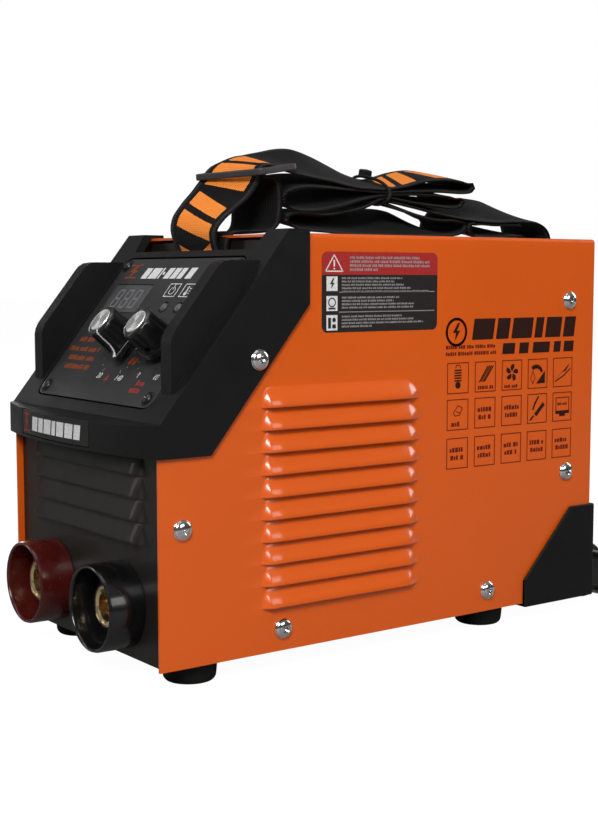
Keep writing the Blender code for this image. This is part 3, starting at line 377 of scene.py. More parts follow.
def webbing(name, patterned):
    """Black ribbed webbing.  UV: u across 0..1, v along in strap widths."""
    m = Material(name, (0.008, 0.008, 0.008), rough=0.85, spec=0.12)
    uv = m.node("ShaderNodeUVMap", uv_map="strap").outputs[0]
    split = m.node("ShaderNodeSeparateXYZ")
    m.link(uv, split.inputs[0])
    across, along = split.outputs[0], split.outputs[1]

    def ridges(coordinate, count):
        return m.math("ABSOLUTE", m.math("SINE", m.multiply(coordinate, math.pi * count)))

    ribs = ridges(across, 30)
    rows = ridges(along, 44)
    weave = m.math("ADD", m.multiply(ribs, 0.62), m.multiply(rows, 0.38))
    thread = m.noise(scale=26.0, detail=3.0, vector=uv, stretch=(14.0, 40.0, 1.0))
    lint = m.noise(scale=700.0, detail=3.0)
    dark = m.mix(m.remap(m.multiply(weave, thread), span=(0.08, 0.55)),
                 (0.0010, 0.0010, 0.0010), (0.0062, 0.0058, 0.0060))
    # a paler stitched line near each edge
    off_centre = m.math("ABSOLUTE", m.math("SUBTRACT", across, 0.5))
    selvedge = m.multiply(m.between(off_centre, 0.425, 0.470), m.math("POWER", rows, 3.0))
    dark = m.mix(m.multiply(selvedge, 0.8), dark, (0.060, 0.058, 0.060))
    if patterned:
        woven_pattern(m, uv, across, along, weave, thread, dark)
    else:
        m.drive("Base Color", dark)
    m.set(**{"Sheen Weight": 0.04, "Sheen Roughness": 0.4})
    m.bump(weave, strength=0.75, distance=0.00045)
    m.bump(lint, strength=0.25, distance=0.0001)
    return m.data


WEB_FACE = webbing("webbing_face", True)
WEB_BACK = webbing("webbing_back", False)

SLOT_MATERIAL = {
    "orange_paint": ORANGE, "black_paint": BLACK_PAINT, "bezel_plastic": BEZEL,
    "plate_grey": PLATE, "window": WINDOW, "lens": LENS, "knob_black": KNOB,
    "spun_aluminium": CAP, "socket_red": RED_COLLAR, "socket_black": BLACK_COLLAR,
    "brass": BRASS, "chrome": CHROME, "zinc": ZINC, "rubber": RUBBER, "webbing": WEB_BACK,
    "buckle": BUCKLE, "board_green": BOARD, "aluminium": FINS, "ferrite": FERRITE,
    "sleeve_blue": SLEEVE,
}
# nodes whose material differs from their slot's
NODE_MATERIAL = {"fan_frame": FAN_PLASTIC, "fan_rotor": FAN_PLASTIC, "power_cord": CORD,
                 "cord_gland": CORD, "fan_guard": WIRE}
NODE_SLOT = {part["node"]: part["material_slot"] for part in product["record"]["subparts"]}
for node_name, node_object in product["nodes"].items():
    node_object.data.materials.clear()
    node_object.data.materials.append(
        NODE_MATERIAL.get(node_name) or SLOT_MATERIAL[NODE_SLOT[node_name]])


# =====================================================================================
# shapes: (vertices, faces) in millimetres of the frame they are given
# =====================================================================================
def together(*shapes):
    verts, faces = [], []
    for more_verts, more_faces in shapes:
        start = len(verts)
        verts += list(more_verts)
        faces += [tuple(i + start for i in face) for face in more_faces]
    return verts, faces


def axis_point(axis, a, b, along):
    return {"X": (along, a, b), "Y": (a, along, b), "Z": (a, b, along)}[axis]


def prism(axis, outline, low, high):
    n = len(outline)
    verts = [axis_point(axis, a, b, along) for along in (low, high) for a, b in outline]
    faces = [tuple(range(n)), tuple(range(n, 2 * n))]
    faces += [(i, (i + 1) % n, n + (i + 1) % n, n + i) for i in range(n)]
    return verts, faces


def block(x0, x1, y0, y1, z0, z1):
    return prism("Z", [(x0, y0), (x1, y0), (x1, y1), (x0, y1)], z0, z1)


def circle(x, y, radius, count):
    angles = [2 * math.pi * i / count for i in range(count)]
    return [(x + radius * math.cos(a), y + radius * math.sin(a)) for a in angles]


def arc(x, y, radius, start, end, count):
    angles = [math.radians(start + (end - start) * i / count) for i in range(count + 1)]
    return [(x + radius * math.cos(a), y + radius * math.sin(a)) for a in angles]


def rounded(x0, x1, y0, y1, radius, steps):
    """A rectangle with round corners."""
    left, right, low, high = x0 + radius, x1 - radius, y0 + radius, y1 - radius
    points = []
    for x, y, start in ((right, high, 0), (left, high, 90), (left, low, 180), (right, low, 270)):
        points += arc(x, y, radius, start, start + 90, steps)
    return points


def turned(axis, centre, profile, count, closed=False):
    """Revolves (radius, along) points about an axis; a zero radius makes a single point."""
    verts, rings = [], []
    for radius, along in profile:
        size = count if radius else 1
        rings.append(range(len(verts), len(verts) + size))
        verts += [axis_point(axis, a, b, along) for a, b in circle(*centre, radius, count)[:size]]
    pairs = list(zip(rings, rings[1:]))
    if closed:
        pairs.append((rings[-1], rings[0]))
    faces = []
    for low, high in pairs:
        for i in range(count):
            j = (i + 1) % count
            if len(low) == 1:
                faces.append((low[0], high[i], high[j]))
            elif len(high) == 1:
                faces.append((low[i], low[j], high[0]))
            else:
                faces.append((low[i], low[j], high[j], high[i]))
    return verts, faces


def cylinder(axis, centre, radius, low, high, count):
    return turned(axis, centre, [(0, low), (radius, low), (radius, high), (0, high)], count)


def loft(sections, capped=True):
    n = len(sections[0])
    last = (len(sections) - 1) * n
    verts = [tuple(point) for section in sections for point in section]
    faces = []
    for start in range(0, last, n):
        for i in range(n):
            j = (i + 1) % n
            faces.append((start + i, start + j, start + n + j, start + n + i))
    if capped:
        faces += [tuple(range(n)), tuple(range(last, last + n))]
    return verts, faces


def round_profile(corners, steps=3):
    """Rounds the inner corners of a profile of (radius, along, rounding)."""
    out = []
    for i, (*point, rounding) in enumerate(corners):
        if not rounding or i in (0, len(corners) - 1):
            out.append(tuple(point))
            continue
        corner = Vector(point)
        back = Vector(corners[i - 1][:2]) - corner
        ahead = Vector(corners[i + 1][:2]) - corner
        reach = min(rounding, back.length * 0.49, ahead.length * 0.49)
        back.normalize()
        ahead.normalize()
        for k in range(steps + 1):
            t = k / steps
            out.append(tuple(corner + back * reach * (1 - t) ** 2 + ahead * reach * t ** 2))
    return out


def spline(points, step):
    """Catmull-Rom through tuples of any length, about every step of the first three values."""
    points = [list(p) for p in points]
    first = [2 * a - b for a, b in zip(points[0], points[1])]
    last = [2 * a - b for a, b in zip(points[-1], points[-2])]
    points = [first] + points + [last]
    out = []
    for i in range(1, len(points) - 2):
        span = points[i - 1:i + 3]
        count = max(2, int(math.ceil(math.dist(span[1][:3], span[2][:3]) / step)))
        for k in range(count):
            t = k / count
            out.append([0.5 * ((2 * b) + (c - a) * t + (2 * a - 5 * b + 4 * c - d) * t * t
                               + (3 * b - a - 3 * c + d) * t ** 3) for a, b, c, d in zip(*span)])
    out.append(points[-2])
    return out


def tube(path, radius, sides, closed=False):
    path = [Vector(p[:3]) for p in path]
    count = len(path)
    sections = []
    side = None
    for i, p in enumerate(path):
        if closed:
            ahead = (path[(i + 1) % count] - path[i - 1]).normalized()
        else:
            ahead = (path[min(i + 1, count - 1)] - path[max(i - 1, 0)]).normalized()
        if side is None:
            side = ahead.orthogonal().normalized()
        side = (side - ahead * side.dot(ahead)).normalized()
        up = ahead.cross(side)
        angles = [2 * math.pi * k / sides for k in range(sides)]
        sections.append([p + radius * (math.cos(a) * side + math.sin(a) * up) for a in angles])
    if not closed:
        return loft(sections)
    # the last ring joins the first at the turn that leaves the least twist
    verts, faces = loft(sections, capped=False)

    def twist(shift):
        return sum((sections[0][(k + shift) % sides] - sections[-1][k]).length
                   for k in range(sides))

    shift = min(range(sides), key=twist)
    last = (count - 1) * sides
    faces += [(last + k, last + (k + 1) % sides, (k + 1 + shift) % sides, (k + shift) % sides)
              for k in range(sides)]
    return verts, faces


# =====================================================================================
# objects
# =====================================================================================
def tag(ob, body, replaces=None, slot=None):
    if body:
        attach(ob, body)
    if replaces:
        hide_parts(replaces)
    slot = slot or NODE_SLOT.get(replaces)


def new_mesh(name, shape):
    verts, faces = shape
    mesh = bpy.data.meshes.new(name)
    mesh.from_pydata([(v[0] * MM, v[1] * MM, v[2] * MM) for v in verts], [], faces)
    return mesh


def add_object(name, mesh, frame):
    ob = bpy.data.objects.new(name, mesh)
    bpy.context.scene.collection.objects.link(ob)
    ob.matrix_world = frame
    return ob


def tidy(mesh, merge=None, outward=False, flatten=None):
    """Merges vertices closer than merge metres, faces normals out, dissolves flat edges."""
    bm = bmesh.new()
    bm.from_mesh(mesh)
    if merge:
        bmesh.ops.remove_doubles(bm, verts=bm.verts, dist=merge)
    if outward:
        bmesh.ops.recalc_face_normals(bm, faces=bm.faces)
    if flatten:
        bmesh.ops.dissolve_limit(bm, angle_limit=math.radians(flatten),
                                 verts=bm.verts, edges=bm.edges)
    bm.to_mesh(mesh)
    bm.free()


def shade_by_angle(mesh, angle):
    if angle:
        mesh.shade_smooth()
        mesh.set_sharp_from_angle(angle=math.radians(angle))


def build(name, shape, material, frame=CASE, body="case", smooth=30, clean=True, **tags):
    """Makes an object; smooth is the angle above which edges stay sharp, 0 for flat faces."""
    mesh = new_mesh(name, shape)
    if clean:
        tidy(mesh, merge=1e-7, outward=True)
    ob = add_object(name, mesh, frame)
    mesh.materials.append(material)
    shade_by_angle(mesh, smooth)
    tag(ob, body, **tags)
    return ob


def freeze(ob, smooth=30):
    """Applies the modifiers."""
    bpy.context.view_layer.update()
    graph = bpy.context.evaluated_depsgraph_get()
    mesh = bpy.data.meshes.new_from_object(ob.evaluated_get(graph))
    ob.modifiers.clear()
    ob.data = mesh
    shade_by_angle(mesh, smooth)


def boolean(ob, shapes, operation="DIFFERENCE", frame=None):
    """Cuts or joins shapes, one after the other, and applies the result."""
    frame = frame or ob.matrix_world.copy()
    tools = []
    for k, shape in enumerate(shapes):
        tool = build(f"tmp_{ob.name}_{k}", shape, ob.data.materials[0], frame, None, smooth=0)
        modifier = ob.modifiers.new(f"b{k}", "BOOLEAN")
        modifier.operation, modifier.solver, modifier.object = operation, "EXACT", tool
        tools.append(tool)
    freeze(ob, smooth=0)
    for tool in tools:
        bpy.data.objects.remove(tool, do_unlink=True)


def soften(ob, edge, segments=2, angle=40, smooth=32, dissolve=True):
    """Rounds edges sharper than angle by edge mm and keeps flats flat."""
    tidy(ob.data, merge=2e-6, flatten=0.6 if dissolve else None)
    ob.data.shade_smooth()
    bevel = ob.modifiers.new("edges", "BEVEL")
    bevel.width, bevel.segments = edge * MM, segments
    bevel.limit_method, bevel.angle_limit = "ANGLE", math.radians(angle)
    bevel.use_clamp_overlap = True
    bevel.miter_outer = "MITER_ARC"
    freeze(ob, smooth)
    ob.modifiers.new("flats", "WEIGHTED_NORMAL").keep_sharp = True


def solid(name, shape, material, edge, segments=2, angle=40, smooth=32, dissolve=True,
          frame=CASE, joins=(), cuts=(), **tags):
    """A shape with others joined on, then others cut out, then its edges rounded."""
    ob = build(name, shape, material, frame, smooth=0, **tags)
    if joins:
        boolean(ob, joins, "UNION")
    if cuts:
        boolean(ob, cuts)
    soften(ob, edge, segments, angle, smooth, dissolve)


# =====================================================================================
# folded sheets with pressed louvres
# =====================================================================================
# A column of louvres: its extent along the wall, the height of each open lip, the height
# and depth of a louvre, the lengths of its sloping ends, and how straight its side is
# (0 a quarter wave, 1 a straight ramp).
Louvres = namedtuple("Louvres", "start stop lips height depth start_taper stop_taper straight")
SIDE_LOUVRES = Louvres(51.6, 143.6, [109.2 - 9.88 * i for i in range(10)], 9.3, 3.5, 4.2, 9.0, 0.0)
FRONT_LOUVRES = Louvres(-52.5, 52.5, [81.5 - 10.0 * i for i in range(4)], 9.3, 2.8, 6.0, 2.8, 0.7)
TAPER_SHARES = (0, 0.03, 0.09, 0.17, 0.26, 0.36, 0.46, 0.57, 0.68, 0.82, 1.0)
LIP_OFFSETS = (0, 0.18, 0.5, 1.1, 1.9, 2.8, 3.7, 4.6, 5.5, 6.3, 7.0, 7.7, 8.4, 8.9)


def louvre_depth(louvres, along, z, upper):
    """How far the sheet stands out; at a lip only the upper of its two edges does."""
    if not louvres.start < along < louvres.stop:
        return 0.0
    for lip in louvres.lips:
        above = z - lip
        if not -1e-6 <= above <= louvres.height + 1e-6:
            continue
        if abs(above) < 1e-6 and not upper:
            return 0.0
        end = min(1.0, (along - louvres.start) / louvres.start_taper,
                  (louvres.stop - along) / louvres.stop_taper)
        fullness = 0.5 * end + 0.5 * math.sin(math.pi / 2 * end) ** 2
        rise = above / (louvres.height * (0.55 + 0.45 * fullness))
        if rise >= 1:
            return 0.0
        curve = math.cos(math.pi / 2 * rise) ** 1.35
        stand = (1 - louvres.straight) * curve + louvres.straight * (1 - rise)
        if above < 0.5:                     # the lip curls in a little
            stand *= 1 - 0.10 * (1 - above / 0.5) ** 2
        return louvres.depth * fullness * stand
    return 0.0


def louvre_columns(louvres, step):
    start, stop = louvres.start, louvres.stop
    flat = stop - start - louvres.start_taper - louvres.stop_taper
    count = round(flat / step)
    columns = [start + louvres.start_taper * share for share in TAPER_SHARES]
    columns += [start + louvres.start_taper + flat * i / count for i in range(1, count)]
    return columns + [stop - louvres.stop_taper * share for share in TAPER_SHARES]


def louvre_rows(louvres):
    offsets = (*LIP_OFFSETS, louvres.height)
    return [lip + offset for lip in louvres.lips for offset in offsets]


def spaced(values, tolerance=0.02):
    out = []
    for value in sorted(values):
        if not out or value - out[-1] > tolerance:
            out.append(value)
    return out


def louvred_grid(louvres, rows, columns, point):
    """A grid of quads, split open along the lips.

    A row is (side, z): side 1 or -1 on a louvred wall, taken upwards or downwards, and 0
    on the roof, where the second value is an (x, z) point."""
    verts, index = [], {}

    def vertex(row, column, upper):
        side, where = rows[row]
        along = columns[column]
        split = where in louvres.lips and louvres.start < along < louvres.stop
        key = (row, column, upper or not split)
        if key not in index:
            depth = louvre_depth(louvres, along, where, key[2]) if side else 0.0
            index[key] = len(verts)
            verts.append(point(side, where, along, depth))
        return index[key]

    faces = []
    for row in range(len(rows) - 1):
        near = rows[row][0] >= 0
        for column in range(len(columns) - 1):
            corners = ((row, column, near), (row, column + 1, near),
                       (row + 1, column + 1, not near), (row + 1, column, not near))
            faces.append(tuple(vertex(*corner) for corner in corners))
    return verts, faces


def thicken(ob, smooth):
    sheet = ob.modifiers.new("sheet", "SOLIDIFY")
    sheet.thickness, sheet.offset = SHEET * MM, -1.0
    sheet.use_even_offset, sheet.use_quality_normals = False, True
    freeze(ob, smooth)


def case_cover():
    """Both sides and the roof in one sheet, cut off in front along the slanted face."""
    heights = spaced([0.0, 4.0, 10.0, 16.0] + louvre_rows(SIDE_LOUVRES)
                     + [122.0, 132.0, 145.0, 160.0, 172.0, 180.0, CASE_H - ROOF_RADIUS])
    columns = spaced([0.0, 6.0, 16.0, 28.0, 40.0] + louvre_columns(SIDE_LOUVRES, step=7.0)
                     + [154.0, 168.0, 184.0, 200.0, 216.0, 232.0, 248.0, 256.0, CASE_LEN])
    roof_half = CASE_HALF - ROOF_RADIUS
    fold_z = CASE_H - ROOF_RADIUS
    rows = [(1, z) for z in heights]
    rows += [(0, p) for p in arc(roof_half, fold_z, ROOF_RADIUS, 0, 90, 6)[1:-1]]
    rows += [(0, (roof_half - 2 * roof_half * i / 12, CASE_H)) for i in range(13)]
    rows += [(0, p) for p in arc(-roof_half, fold_z, ROOF_RADIUS, 90, 180, 6)[1:-1]]
    rows += [(-1, z) for z in reversed(heights)]

    def point(side, where, y, depth):
        return (side * (CASE_HALF + depth), y, where) if side else (where[0], y, where[1])

    ob = build("case_cover_sheet", louvred_grid(SIDE_LOUVRES, rows, columns, point), ORANGE,
               smooth=0, clean=False, replaces="case_cover")
    below = WALL + 0.45                     # the sheet ends under the bezel's wall
    bm = bmesh.new()
    bm.from_mesh(ob.data)
    bmesh.ops.bisect_plane(
        bm, geom=bm.verts[:] + bm.edges[:] + bm.faces[:],
        plane_co=Vector((0, below * SLANT_SIN, SLANT_Z - below * SLANT_COS)) * MM,
        plane_no=(0, -SLANT_SIN, SLANT_COS), clear_outer=True)
    bm.to_mesh(ob.data)
    bm.free()
    thicken(ob, smooth=38)


def front_panel():
    heights = spaced([0.2, 12.0, 24.0, 36.0, 46.0] + louvre_rows(FRONT_LOUVRES) + [93.0])
    columns = spaced([-INNER_HALF, -60.0] + louvre_columns(FRONT_LOUVRES, step=8.0)
                     + [60.0, INNER_HALF])

    def point(side, z, x, depth):
        return (x, FRONT_Y - depth, z)

    grid = louvred_grid(FRONT_LOUVRES, [(1, z) for z in heights], columns, point)
    ob = build("front_panel_sheet", grid, BLACK_PAINT, smooth=0, clean=False,
               replaces="front_panel")
    thicken(ob, smooth=0)
    boolean(ob, [cylinder("Y", (x, SOCKET_Z), 14.4, -5, 9, 64) for x in (SOCKET_X, -SOCKET_X)])
    freeze(ob, smooth=38)


# =====================================================================================
# head: bezel, plate, badge
# =====================================================================================
BADGE_XS = (-45.0, 70.0)                    # left end and width
GUARD = [                                   # (y, z) outline of the raised cheek on each side
    (9.0, slope_z(9.0) - 1.5), (9.0, 138.0), (9.5, 140.6), (10.9, 143.4), (31.6, 169.0),
    (33.4, 171.0), (36.0, 172.5), (39.5, 173.0), (56.0, 173.0), (56.0, 172.0)]


def bowed(left, width, offset):
    """Points along the bowed front edge, moved back by offset."""
    return [(x, bow_y(x) + offset) for x in [left + width * i / 24 for i in range(25)]]


def front_bezel():
    half = BEZEL_HALF
    wedge = [(-1.2, BEZEL_BOTTOM), (25.0, BEZEL_BOTTOM), (77.0, 154.0), (77.0, BEZEL_TOP),
             (slope_y(BEZEL_TOP), BEZEL_TOP), (-1.2 + 0.9, SLANT_Z - 0.37),
             (-1.2, SLANT_Z - 0.9)]
    ob = build("front_bezel_moulding", prism("X", wedge, -half, half), BEZEL, smooth=0,
               replaces="front_bezel")
    bow = [(x, bow_y(x)) for x in [half * (1 - 2 * i / 40) for i in range(41)]]
    top = SLANT_Z + 0.2
    lower = [(x, y, BEZEL_BOTTOM) for x, y in [(half, 1.2)] + bow + [(-half, 1.2)]]
    upper = [(half, 1.2, top)] + [(x, y, SLANT_Z + 0.2 * y) for x, y in bow]
    upper += [(-half, 1.2, top)]
    guards = [prism("X", GUARD, low, high) for low, high in ((-64.0, -56.0), (56.0, 64.0))]
    boolean(ob, [loft([lower, upper])] + guards, "UNION", CASE)

    front, roof, bottom = FRONT_Y - GAP, CASE_H + GAP, BEZEL_BOTTOM - 3
    inside = [(front, bottom), (front, slope_z(front, WALL)), (slope_y(roof, WALL), roof),
              (82.0, roof), (82.0, bottom)]
    cover = CASE_HALF + GAP
    notch = [(-51.5, 178.0), (51.5, 178.0), (55.5, 190.0), (-55.5, 190.0)]
    badge_recess = bowed(-45.4, 70.8, 1.2) + [(25.4, -16.0), (-45.4, -16.0)]
    boolean(ob, [prism("X", inside, -cover, cover),
                 block(66.0, cover, -GAP, 6.0, bottom, 102.0),
                 block(-cover, -66.0, -GAP, 6.0, bottom, 102.0),
                 prism("Y", notch, 50.0, 80.0),
                 prism("Z", badge_recess, 91.9, 103.9)], frame=CASE)
    boolean(ob, [prism("Z", rounded(-53.9, 53.9, 5.9, 89.9, 5.9, 8), -2.0, 3.0),
                 prism("Z", rounded(-48.0, 49.0, 18.0, 80.0, 3.0, 4), -9.0, 3.0)], frame=PANEL)
    soften(ob, 0.9, segments=3, angle=24)


def control_plate():
    cuts = [cylinder("Z", (x, KNOB_Y), 3.9, -5, 3, 32) for x in KNOB_X.values()]
    cuts += [cylinder("Z", (x, LED_Y), 2.8, -5, 3, 32) for x in LED_X.values()]
    cuts += [prism("Z", rounded(-46.3, -12.2, 56.2, 73.3, 1.3, 4), -5, 3)]
    plate = prism("Z", rounded(-53.0, 53.0, 6.8, 89.0, 5.0, 10), -1.7, -0.1)
    solid("control_plate_panel", plate, PLATE, 0.25, frame=PANEL, cuts=cuts,
          replaces="control_plate")


def badge_plate():
    outline = bowed(*BADGE_XS, 0.1) + bowed(*BADGE_XS, 0.85)[::-1]
    solid("badge_plate_film", prism("Z", outline, 92.3, 103.5), BADGE, 0.2,
          replaces="badge_plate")


def base_tray():
    half, sheet, bottom, top = INNER_HALF, 1.5, 0.2, 17.0
    outline = [(-half, bottom), (half, bottom), (half, top), (half - sheet, top),
               (half - sheet, bottom + sheet), (-half + sheet, bottom + sheet),
               (-half + sheet, top), (-half, top)]
    slots = [prism("Z", rounded(-30, 30, y, y + 4, 1.9, 8), -1, 3) for y in range(66, 160, 12)]
    solid("base_tray_sheet", prism("Y", outline, FRONT_Y + SHEET + GAP, REAR_Y - SHEET - GAP),
          BLACK_PAINT, 0.35, cuts=slots, replaces="base_tray")


def rear_panel():
    front, rear = REAR_Y - 4, REAR_Y + 3
    cuts = [cylinder("Y", (FAN_X, FAN_Z), 37.5, front, rear, 96),
            block(SWITCH_X - 11.2, SWITCH_X + 11.2, front, rear, SWITCH_Z - 14.2, SWITCH_Z + 14.2),
            cylinder("Y", (GLAND_X, GLAND_Z), 8.3, front, rear, 40)]
    outline = [(-INNER_HALF, 0.2), (INNER_HALF, 0.2), (INNER_HALF, 183.4), (-INNER_HALF, 183.4)]
    solid("rear_panel_sheet", prism("Y", outline, REAR_Y - SHEET, REAR_Y), BLACK_PAINT, 0.3,
          cuts=cuts, replaces="rear_panel")


# =====================================================================================
# controls
# =====================================================================================
def digit(left):
    """The seven segments of one leaning digit."""
    bottom, width, height = 58.9, 5.8, 11.2
    thick, gap, tip, lean = 1.15, 0.25, 0.35, 0.09
    right, top, middle = left + width, bottom + height, bottom + height / 2
    boxes = [                               # clockwise from the top, then the middle
        (left + gap, right - gap, top - thick, top),
        (right - thick, right, middle + gap, top - gap),
        (right - thick, right, bottom + gap, middle - gap),
        (left + gap, right - gap, bottom, bottom + thick),
        (left, left + thick, bottom + gap, middle - gap),
        (left, left + thick, middle + gap, top - gap),
        (left + gap, right - gap, middle - thick / 2, middle + thick / 2)]
    segments = []
    for x0, x1, y0, y1 in boxes:
        x, y = (x0 + x1) / 2, (y0 + y1) / 2
        if x1 - x0 > y1 - y0:
            points = [(x0, y), (x0 + tip, y0), (x1 - tip, y0), (x1, y), (x1 - tip, y1),
                      (x0 + tip, y1)]
        else:
            points = [(x, y0), (x1, y0 + tip), (x1, y1 - tip), (x, y1), (x0, y1 - tip),
                      (x0, y0 + tip)]
        points = [(px + (py - bottom) * lean, py) for px, py in points]
        segments.append(prism("Z", points, -0.215, -0.15))
    return segments


def display():
    solid("display_window_lens", prism("Z", rounded(-46.0, -12.5, 56.5, 73.0, 1.0, 6), -2.6, -0.2),
          WINDOW, 0.25, frame=PANEL, replaces="display_window")
    segments = [segment for k in range(3) for segment in digit(-41.0 + k * 8.6)]
    build("display_digits", together(*segments), INK_SEGMENT, PANEL, smooth=0, slot="window")


def leds():
    angles = [math.radians(a) for a in range(15, 91, 15)]
    lens = [(0.0, 0.95)] + [(2.3 * math.sin(a), 0.95 - 1.1 * (1 - math.cos(a))) for a in angles]
    lens += [(2.5, -0.6), (2.5, -6.0), (0, -6.0)]
    ring = [(2.85, -0.25), (2.85, 0.12), (3.1, 0.2), (3.35, 0.12), (3.4, -0.25)]
    for name, x in LED_X.items():
        build(f"{name}_lens", turned("Z", (x, LED_Y), lens, 40), LENS, PANEL, smooth=50,
              replaces=name)
        build(f"{name}_ring", turned("Z", (x, LED_Y), ring, 40, closed=True), KNOB, PANEL,
              smooth=50, slot="knob_black")


# Knob tables: heights are above KNOB_BASE.
KNOB_GRIP = [                               # (radius, flute depth, height)
    (8.7, 0.0, 1.2), (8.75, 0.0, 3.0), (8.7, 0.35, 3.6), (8.68, 0.8, 4.6), (8.5, 0.9, 8.0),
    (8.35, 0.9, 12.0), (8.25, 0.85, 14.0), (8.1, 0.55, 14.6), (7.9, 0.25, 15.0),
    (7.6, 0.1, 15.3), (7.1, 0.0, 15.5), (6.5, 0.0, 15.68), (6.3, 0.0, 15.7)]
KNOB_SKIRT = [                              # (outward growth, height): two grooves
    (0.0, 0.0), (0.0, 0.75), (-0.28, 0.85), (-0.28, 1.1), (0.0, 1.2), (0.0, 1.75),
    (-0.28, 1.85), (-0.28, 2.1), (-0.1, 2.2), (-0.1, 2.5), (-0.35, 2.75)]
KNOB_RIDGE = [                              # (radius, height) of the rib on the skirt
    (6.0, 0.7), (12.3, 0.7), (12.7, 2.6), (12.2, 3.0), (10.6, 3.4), (9.6, 4.6), (8.85, 6.4),
    (8.6, 7.6), (6.0, 7.6)]
KNOB_SPINE = [                              # (radius, height) of the rib up the grip
    (6.0, 5.0), (8.62, 5.0), (8.45, 12.0), (8.2, 14.4), (7.85, 15.15), (6.6, 15.5),
    (6.0, 15.5)]
KNOB_CAP = [                                # (radius, height)
    (0.0, 15.92), (5.0, 16.0), (5.35, 16.02), (5.65, 15.98), (5.85, 15.8), (5.95, 15.5),
    (0, 15.5)]
KNOB_POINTER = [                            # (radius, height) down spine and ridge
    (6.2, 15.72), (6.7, 15.56), (7.9, 15.24), (8.27, 14.45), (8.5, 12.0), (8.7, 6.9),
    (8.95, 6.35), (9.7, 4.6), (10.66, 3.46), (12.2, 3.08), (12.76, 2.62)]


def lift(profile):
    return [(radius, KNOB_BASE + z) for radius, z in profile]


def knob_grip():
    flutes, count = 9, 180
    sections = []
    for radius, flute, z in KNOB_GRIP:
        ring = []
        for i in range(count):
            a = 2 * math.pi * (i + 0.3) / count
            r = radius - flute * 0.55 * (0.5 - 0.5 * math.cos(flutes * a)) ** 2.2
            ring.append((r * math.sin(a), r * math.cos(a), KNOB_BASE + z))
        sections.append(ring)
    return loft(sections)


def knob_skirt():
    """A disc drawn out to a rounded tip along +Y."""
    disc, tip_y, tip = 9.2, 12.4, 1.0
    lean = math.acos((disc - tip) / tip_y)
    round_disc = [lean + (2 * math.pi - 2 * lean) * i / 96 for i in range(97)]
    round_tip = [-lean + 2 * lean * i / 12 for i in range(13)]
    sections = []
    for grow, z in KNOB_SKIRT:
        points = [((disc + grow) * math.sin(a), (disc + grow) * math.cos(a)) for a in round_disc]
        points += [((tip + grow) * math.sin(a), tip_y + (tip + grow) * math.cos(a))
                   for a in round_tip]
        sections.append([(x, y, KNOB_BASE + z) for x, y in points])
    return loft(sections)


def knob_pointer():
    """A thin film laid along KNOB_POINTER, wider over the tip."""
    sections = []
    for i, (radius, z) in enumerate(KNOB_POINTER):
        before = Vector(KNOB_POINTER[max(i - 1, 0)])
        after = Vector(KNOB_POINTER[min(i + 1, len(KNOB_POINTER) - 1)])
        along = (after - before).normalized()
        out_r, out_z = -along.y, along.x
        half = 0.34 if i < 9 else 0.8
        under = (radius - 0.06 * out_r, KNOB_BASE + z - 0.06 * out_z)
        over = (radius + 0.07 * out_r, KNOB_BASE + z + 0.07 * out_z)
        sections.append([(-half, *under), (half, *under), (half, *over), (-half, *over)])
    return loft(sections)


def knob(label):
    dial = f"{label}_dial"
    frame = at(PANEL, KNOB_X[label], KNOB_Y) @ turn(KNOB_REST[label], "Z")
    base = KNOB_BASE
    ob = build(f"{label}_knob_body", knob_grip(), KNOB, frame, None, smooth=0)
    boolean(ob, [knob_skirt(), prism("X", lift(KNOB_RIDGE), -1.03, 1.07),
                 prism("X", lift(KNOB_SPINE), -0.85, 0.89)], "UNION")
    # shaft bore, cap recess and a cross hole in the skirt
    boolean(ob, [cylinder("Z", (0, 0), 3.3, base - 1.0, base + 11.0, 32),
                 cylinder("Z", (0, 0), 6.15, base + 15.2, base + 18.0, 73),
                 cylinder("X", (0.0, base + 5.2), 1.3, -14.0, -5.0, 28)])
    tag(ob, dial, replaces=f"{label}_knob", slot="knob_black")
    soften(ob, 0.14, angle=38, smooth=42, dissolve=False)
    build(f"{label}_cap_disc", turned("Z", (0, 0), lift(KNOB_CAP), 128), CAP, frame, dial,
          replaces=f"{label}_knob_cap")
    shaft = lift([(0, 10.4), (2.7, 10.4), (3.0, 10.0)]) + [(3.0, -6.6), (0, -6.6)]
    build(f"{label}_shaft_rod", turned("Z", (0, 0), shaft, 40), ZINC, frame, dial, smooth=35,
          replaces=f"{label}_shaft")
    build(f"{label}_pointer_line", knob_pointer(), INK_WHITE, frame, dial, smooth=0,
          slot="knob_black")


def knobs():
    for label in KNOB_X:
        knob(label)


